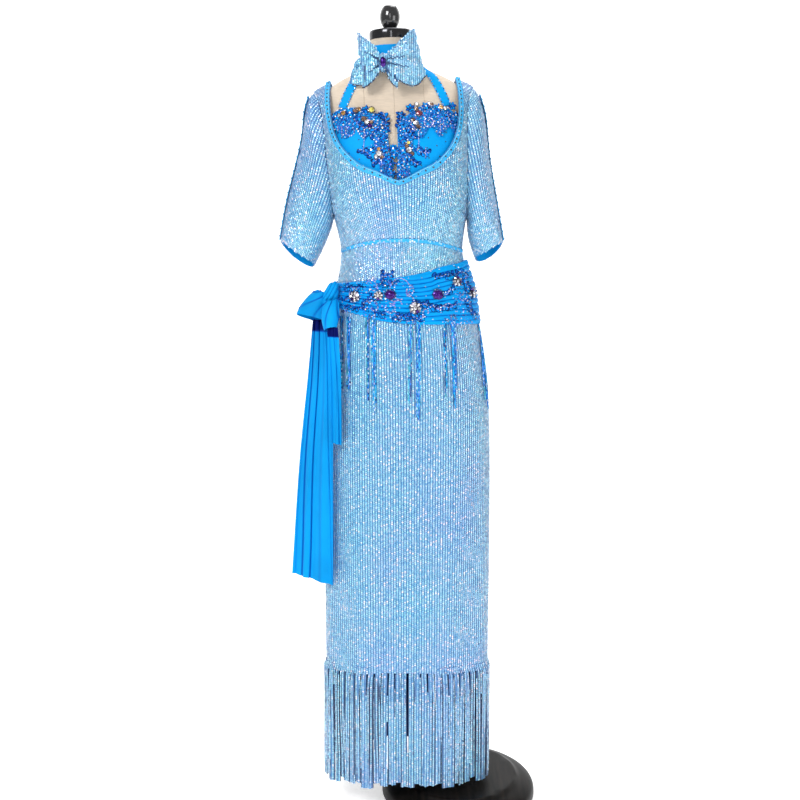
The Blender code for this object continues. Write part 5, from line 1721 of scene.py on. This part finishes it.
# Bundles of strings: tassel, top x, lower end x and level, strings, half width at the top
BUNDLES = (
    (1, -0.2484, -0.2495, 0.9376, 5, 0.0035), (1, -0.2340, -0.2350, 0.9371, 7, 0.0040),
    (2, -0.1973, -0.1953, 0.9158, 5, 0.0030), (2, -0.1846, -0.1810, 0.8909, 9, 0.0050),
    (3, -0.1092, -0.1127, 0.9046, 6, 0.0036), (3, -0.0943, -0.0939, 0.8790, 9, 0.0052),
    (4, -0.0396, -0.0382, 0.9209, 4, 0.0028), (4, -0.0245, -0.0186, 0.8996, 9, 0.0052),
    (5, 0.0320, 0.0467, 0.9060, 6, 0.0040), (5, 0.0385, 0.0521, 0.8884, 7, 0.0040),
)
STRING_TINTS = ("blue bead", "azure bead", "navy bead", "blue bead", "teal bead", "azure bead", "blue bead")
TASSEL_TOP = 1.082


FRINGE_TOP = 0.318
FRINGE_DROP = 0.22


def fringe_move(p, normal):
    """Turns the band's top edge in under the skirt's hem, widens and sways the strips unevenly, and paints
    shade down their side walls.
    """
    out = away(p)
    side = UP.cross(out)
    under_hem = clamped((p.z - FRINGE_TOP) / 0.008)
    drop = clamped((FRINGE_TOP - p.z) / FRINGE_DROP)
    a = turn(p)
    edge = normal.dot(side)
    wide = 0.0
    if abs(edge) >= 0.3 and drop >= 0.02:
        more = 0.0007 + 0.0019 * drop if p.y < 0.0 else 0.0024
        uneven = 1.0 + 0.9 * noise.noise(Vector((a * 0.12, p.z * 2.0, 2.0)))
        wide = math.copysign(more, edge) * uneven
    sway = 0.006 * drop * noise.noise(Vector((a * 0.10, p.z * 5.0, 7.0)))
    if p.y > 0.02:
        sway += 0.0045 * min(drop * 7.0, 1.0)
    push = 0.004 * drop * noise.noise(Vector((a * 0.35, p.z * 4.0, 4.0)))
    # Painted shade on the strips' side walls, so the gaps between them read dark
    shade = 0.9 if abs(edge) > 0.45 and drop > 0.02 else 0.0
    return side * (wide + sway) + out * (push - 0.0042 * under_hem), shade


class DRESS_OT_tassels(bpy.types.Operator):
    """Make the bead strings that hang from the sash"""

    bl_idname = "dress.tassels"
    bl_label = "Tassels"

    def execute(self, context):
        skirt = tree_of("skirt_front_cloth")
        for number in range(1, 6):
            rng = random.Random(number)
            laid = {}
            for _, *bundle in (b for b in BUNDLES if b[0] == number):
                string_bundle(skirt, rng, number, bundle, laid)
            for tint, spots in sorted(laid.items()):
                name = f"tassel_{number}_{tint.replace(' ', '_')}s"
                made = copies(name, "long bead", spots, tint, 0.05, number)
                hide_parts(f"tassel_{number}")
        return {"FINISHED"}


def string_bundle(skirt, rng, number, bundle, laid):
    """Threads one bundle's beads down the skirt, string by string, and gathers them by tint."""
    sizes = bpy.context.scene.dress_sizes
    size = (sizes.bead_radius, sizes.bead_length * 0.55, sizes.bead_radius)
    top_x, low_x, low_z, count, half = bundle
    for k in range(count):
        spread = (2 * (k + 0.5) / count - 1) * half
        end = low_z
        if k != count // 2:
            end += (TASSEL_TOP - low_z) * 0.38 * rng.random() ** 1.5
        sway = rng.uniform(-0.0015, 0.0015)
        lift = 0.0022 + 0.0016 * rng.random()
        z, main_tint = TASSEL_TOP, rng.choice(STRING_TINTS)
        while z > end:
            t = (TASSEL_TOP - z) / (TASSEL_TOP - low_z)
            x = top_x + (low_x - top_x) * t + spread * (1 - 0.45 * t) + sway * math.sin(t * 5 + k)
            spot, normal = met_from_side(skirt, x, z)
            tint = main_tint if rng.random() < 0.75 else rng.choice(STRING_TINTS)
            key = (rng.randrange(997), number)
            laid.setdefault(tint, []).append((spot + normal * lift, normal, UP, size, key))
            z -= sizes.bead_length


def met_from_side(tree, x, z):
    """Where the skirt is at a front place, or at its side where it turns away before that place."""
    met = met_from_front(tree, x, z)
    while met is None or met[1].y > -0.3:
        x -= 0.001 if x > axis_x(z) else -0.001
        met = met_from_front(tree, x, z)
    return met


# Motifs on the sash, in the scene's own frame: kind, x, level, half size, turn
SASH_MOTIFS = (
    ("ring", -0.1310, 1.1430, 0.0200, 150), ("ring", -0.1505, 1.1046, 0.0100, -20),
    ("scroll", -0.1865, 1.1470, 0.0130, -60), ("scroll", -0.1850, 1.1060, 0.0130, -40),
    ("line", -0.1050, 1.1130, 0.0320, -20), ("line", -0.1270, 1.1120, 0.0260, -60),
    ("scroll", -0.1130, 1.1390, 0.0110, 20), ("sprig", -0.1660, 1.1640, 0.0120, 20),
    ("sprig", -0.1560, 1.1700, 0.0110, 75), ("flower", -0.1610, 1.1500, 0.0075, 0),
    ("sprig", -0.1480, 1.1560, 0.0120, 100), ("sprig", -0.0900, 1.1140, 0.0130, 95),
    ("sprig", -0.0640, 1.1080, 0.0130, 100), ("line", -0.0640, 1.1100, 0.0400, 95),
    ("flower", -0.0500, 1.1010, 0.0070, 10), ("sprig", -0.0290, 1.1080, 0.0120, 80),
    ("sprig", -0.1240, 1.0900, 0.0120, 90), ("flower", -0.1400, 1.0830, 0.0075, 0),
    ("flower", -0.0850, 1.0870, 0.0075, 20), ("sprig", -0.0980, 1.0850, 0.0110, -80),
    ("sprig", -0.0491, 1.1700, 0.0130, 80), ("flower", -0.0340, 1.1660, 0.0075, 0),
    ("sprig", -0.0200, 1.1740, 0.0130, 80), ("flower", -0.0060, 1.1740, 0.0080, 0),
    ("sprig", 0.0060, 1.1560, 0.0130, 170), ("flower", -0.0080, 1.1560, 0.0080, 20),
    ("flower", 0.0070, 1.1400, 0.0080, 0), ("sprig", 0.0140, 1.1060, 0.0130, 175),
    ("flower", 0.0060, 1.1160, 0.0075, 0), ("flower", 0.0200, 1.0900, 0.0075, 0),
    ("line", -0.0440, 1.1340, 0.0220, 80), ("sprig", -0.0300, 1.1400, 0.0100, 60),
    ("scroll", -0.0045, 1.1244, 0.0090, 90), ("flower", -0.2390, 1.1430, 0.0080, 0),
    ("sprig", -0.2260, 1.1450, 0.0120, 95), ("flower", -0.2101, 1.1460, 0.0075, 15),
    ("sprig", -0.2380, 1.1230, 0.0120, 60), ("line", -0.2330, 1.1290, 0.0180, 90),
    ("flower", -0.2372, 1.1050, 0.0075, 0), ("sprig", -0.2183, 1.1050, 0.0120, 90),
    ("flower", -0.1998, 1.1020, 0.0075, 0), ("sprig", -0.1960, 1.1220, 0.0110, 45),
    ("flower", -0.1800, 1.1260, 0.0070, 0), ("sprig", -0.1760, 1.0960, 0.0110, 110),
    ("scroll", -0.0780, 1.0960, 0.0090, 200), ("flower", -0.1660, 1.0900, 0.0065, 0),
    ("cluster", -0.1876, 1.0850, 0.0090, 0), ("cluster", -0.1108, 1.0760, 0.0090, 0),
    ("cluster", -0.0990, 1.0790, 0.0070, 0), ("cluster", -0.0318, 1.0790, 0.0100, 0),
    ("cluster", -0.0230, 1.0850, 0.0070, 0), ("cluster", 0.0260, 1.0830, 0.0080, 0),
    ("cluster", -0.2440, 1.0960, 0.0070, 0), ("cluster", -0.1320, 1.0830, 0.0060, 0),
)
# Patches of the sash where small sequins lie thick: x0, z0, x1, z1
SASH_PATCHES = (
    (-0.252, 1.090, -0.190, 1.160), (-0.190, 1.080, -0.140, 1.165), (-0.020, 1.070, 0.040, 1.185),
)
PATCH_GAP = 0.0050
SASH_STUD_GAP = 0.016
SASH_BOX = (-0.250, 1.06, 0.03, 1.19)
PATCH_TINTS = ("blue bead", "navy bead", "blue bead", "blue lace", "silver bead", "violet bead")
ROSETTE_STONES = 7


class DRESS_OT_ornaments(bpy.types.Operator):
    """Lay the scrolls, leaves and stones on the sash"""

    bl_idname = "dress.ornaments"
    bl_label = "Sash ornaments"

    def execute(self, context):
        satin_tree = tree_of("hip_sash_satin")
        sash = Applique(tree_of("hip_sash_satin", "skirt_front_cloth"), 51)
        for box in SASH_PATCHES:
            sash.sprinkle(satin_tree, box, PATCH_GAP, PATCH_TINTS, SPANGLE)
        for x, z in sash.sprinkle(satin_tree, SASH_BOX, SASH_STUD_GAP, (), 0.0):
            sash.lay("stone", "silver bead", x, z, 0.0, (0.0012, 0.0012, 0.0010), 0.0002)
        sash.draw(SASH_MOTIFS)
        sash.finish("sash")
        for number in range(1, 6):
            source = f"sash_crystal_{number}"
            self.set_rosette(smooth_copy(source, source + "_setting", "setting", 1), number)
        for number in (6, 7):
            source = f"sash_gem_{number}"
            gem = smooth_copy(source, source + "_stone", "gem", 0)
            middle, half, tall = self.measure(gem)
            rim = Applique(satin_tree, 60 + number)
            path = [(u * (half + 0.0008), v * (tall + 0.0008)) for u, v in arc(1.0, 0.0, 2 * math.pi)]
            rim.row(path, middle.x, middle.z, 0.0, 0.0024, (0.0012, 0.0012, 0.0014), ("dark bead",))
            rim.finish(source + "_rim", "crystal")
        return {"FINISHED"}

    def measure(self, made):
        """A stone's middle, and half its width and its height."""
        points = points_of(made.data)
        (x0, x1), (z0, z1) = reach(points, "x"), reach(points, "z")
        return middle_of(points), (x1 - x0) / 2, (z1 - z0) / 2

    def set_rosette(self, cluster, number):
        """A centre stone, a ring of stones and small ones between, on one setting."""
        middle, _, half = self.measure(cluster)
        set_on = Applique(tree_of(cluster.name, "hip_sash_satin"), 70 + number)
        centre = (half * 0.30, half * 0.30, half * 0.26)
        petal = (half * 0.22, half * 0.32, half * 0.24)
        set_on.lay("stone", "crystal", middle.x, middle.z, 0.2, centre)
        for k in range(ROSETTE_STONES):
            a = 2 * math.pi * (k + 0.3 * number) / ROSETTE_STONES
            x, z = middle.x + 0.64 * half * math.sin(a), middle.z + 0.64 * half * math.cos(a)
            tint = "gem" if (k + number) % 5 == 0 else "crystal"
            set_on.lay("stone", tint, x, z, a, petal)
            between = a + 0.45
            x, z = middle.x + 0.98 * half * math.sin(between), middle.z + 0.98 * half * math.cos(between)
            set_on.lay("bead", ("dark bead", "amber bead")[k % 2], x, z, a, evenly(half * 0.12))
        set_on.finish(f"sash_crystal_{number}", "crystal")


# Area lights: name, place, what it is aimed at, width, height, power
LIGHTS = (
    ("key light", (-1.7, -2.4, 3.0), (-0.13, 0.0, 1.0), 1.2, 1.2, 66.0),
    ("fill light", (2.4, -2.2, 1.4), (-0.13, 0.0, 0.9), 1.6, 1.6, 22.0),
    ("strip light", (-0.05, -3.2, 2.1), (-0.13, 0.0, 1.6), 0.25, 1.8, 9.0),
    ("top light", (0.2, 0.5, 3.4), (-0.13, 0.0, 0.9), 1.4, 1.4, 30.0),
)
WORLD_STRENGTH = 0.42
CAMERA_PLACE = (-0.131, -2.40, 1.30)
CAMERA_TILT = math.radians(80.5)
CAMERA_LENS = 51.165


class DRESS_OT_stage(bpy.types.Operator):
    """Set up the pale floor and backdrop, the soft lights and the camera"""

    bl_idname = "dress.stage"
    bl_label = "Studio"

    def execute(self, context):
        sweep_backdrop()
        add_surround()
        for name, place, aim, width, height, power in LIGHTS:
            light = bpy.data.lights.new(name, "AREA")
            light.energy = power
            light.size = width
            if height != width:
                light.shape = "RECTANGLE"
                light.size_y = height
            lamp = bpy.data.objects.new(name, light)
            lamp.location = place
            lamp.rotation_euler = (Vector(aim) - Vector(place)).to_track_quat("-Z", "Y").to_euler()
            context.scene.collection.objects.link(lamp)
        world = bpy.data.worlds.new("studio")
        world.use_nodes = True
        background = world.node_tree.nodes["Background"]
        background.inputs["Color"].default_value = (*WHITE, 1.0)
        background.inputs["Strength"].default_value = WORLD_STRENGTH
        context.scene.world = world
        context.scene.view_settings.view_transform = "Standard"
        camera = bpy.data.cameras.new("camera")
        camera.lens = CAMERA_LENS
        camera.sensor_width = 36.0
        eye = bpy.data.objects.new("camera", camera)
        eye.location = CAMERA_PLACE
        eye.rotation_euler = (CAMERA_TILT, 0.0, 0.0)
        context.scene.collection.objects.link(eye)
        context.scene.camera = eye
        return {"FINISHED"}


def stage_piece(name, points, faces, shade, roughness, glow):
    """A pale piece of the studio, which is no part of the dress."""
    mesh = bpy.data.meshes.new(name)
    mesh.from_pydata(points, [], faces)
    made, _, _ = material(
        f"pale {name}", shade, roughness, Emission_Color=(*WHITE, 1.0), Emission_Strength=glow
    )
    mesh.materials.append(made)
    piece = bpy.data.objects.new(name, mesh)
    bpy.context.scene.collection.objects.link(piece)
    return piece


def sweep_backdrop():
    """A floor that curves up into a backdrop."""
    half, front, back, radius, high = 7.0, -5.0, 3.2, 1.4, 6.0
    profile = [(front, 0.0), (back - radius, 0.0)]
    for k in range(1, 13):
        a = math.pi / 2 * k / 12
        profile.append((back - radius + radius * math.sin(a), radius - radius * math.cos(a)))
    profile.append((back, high))
    points = [(x, y, z) for y, z in profile for x in (-half, half)]
    faces = [(2 * i, 2 * i + 1, 2 * i + 3, 2 * i + 2) for i in range(len(profile) - 1)]
    floor = stage_piece("backdrop", points, faces, (0.92, 0.92, 0.92), 0.9, 0.55)
    floor.data.shade_smooth()


def add_surround():
    """A pale round wall behind everything, seen by the camera alone, so it doesn't change the light."""
    radius, high, sides = 9.0, 9.0, 48
    around = [2 * math.pi * k / sides for k in range(sides)]
    points = [(radius * math.cos(a), radius * math.sin(a), z) for z in (-0.05, high) for a in around]
    faces = [(k, (k + 1) % sides, sides + (k + 1) % sides, sides + k) for k in range(sides)]
    faces.append(tuple(range(sides)))
    wall = stage_piece("surround", points, faces, (0.9, 0.9, 0.9), 1.0, 1.0)
    for way in ("diffuse", "glossy", "transmission", "shadow"):
        setattr(wall, f"visible_{way}", False)


class DRESS_PT_panel(bpy.types.Panel):
    """Lists the pieces of the dress in the sidebar"""

    bl_label = "Dress"
    bl_idname = "DRESS_PT_panel"
    bl_space_type = "VIEW_3D"
    bl_region_type = "UI"
    bl_category = "Dress"

    def draw(self, context):
        layout = self.layout
        for group in (context.scene.dress_sizes, context.scene.dress_colours):
            for name in group.__annotations__:
                layout.prop(group, name)
        for operator in OPERATORS:
            layout.operator(operator.bl_idname)


OPERATORS = (
    DRESS_OT_stage, DRESS_OT_form, DRESS_OT_stand, DRESS_OT_panels, DRESS_OT_sleeves, DRESS_OT_bindings,
    DRESS_OT_bra, DRESS_OT_cup_lace, DRESS_OT_bow, DRESS_OT_sash, DRESS_OT_hem_fringe, DRESS_OT_tassels,
    DRESS_OT_ornaments, DRESS_OT_sequins,
)
CLASSES = (DressSizes, DressColours, *OPERATORS, DRESS_PT_panel)


def register():
    for made in CLASSES:
        bpy.utils.register_class(made)
    bpy.types.Scene.dress_sizes = PointerProperty(type=DressSizes)
    bpy.types.Scene.dress_colours = PointerProperty(type=DressColours)


def unregister():
    del bpy.types.Scene.dress_colours
    del bpy.types.Scene.dress_sizes
    for made in reversed(CLASSES):
        bpy.utils.unregister_class(made)


def main():
    register()
    finishes.update(make_finishes(bpy.context.scene.dress_colours))
    make_shapes()
    for operator in OPERATORS:
        group, name = operator.bl_idname.split(".")
        getattr(getattr(bpy.ops, group), name)()


if __name__ == "__main__":
    main()
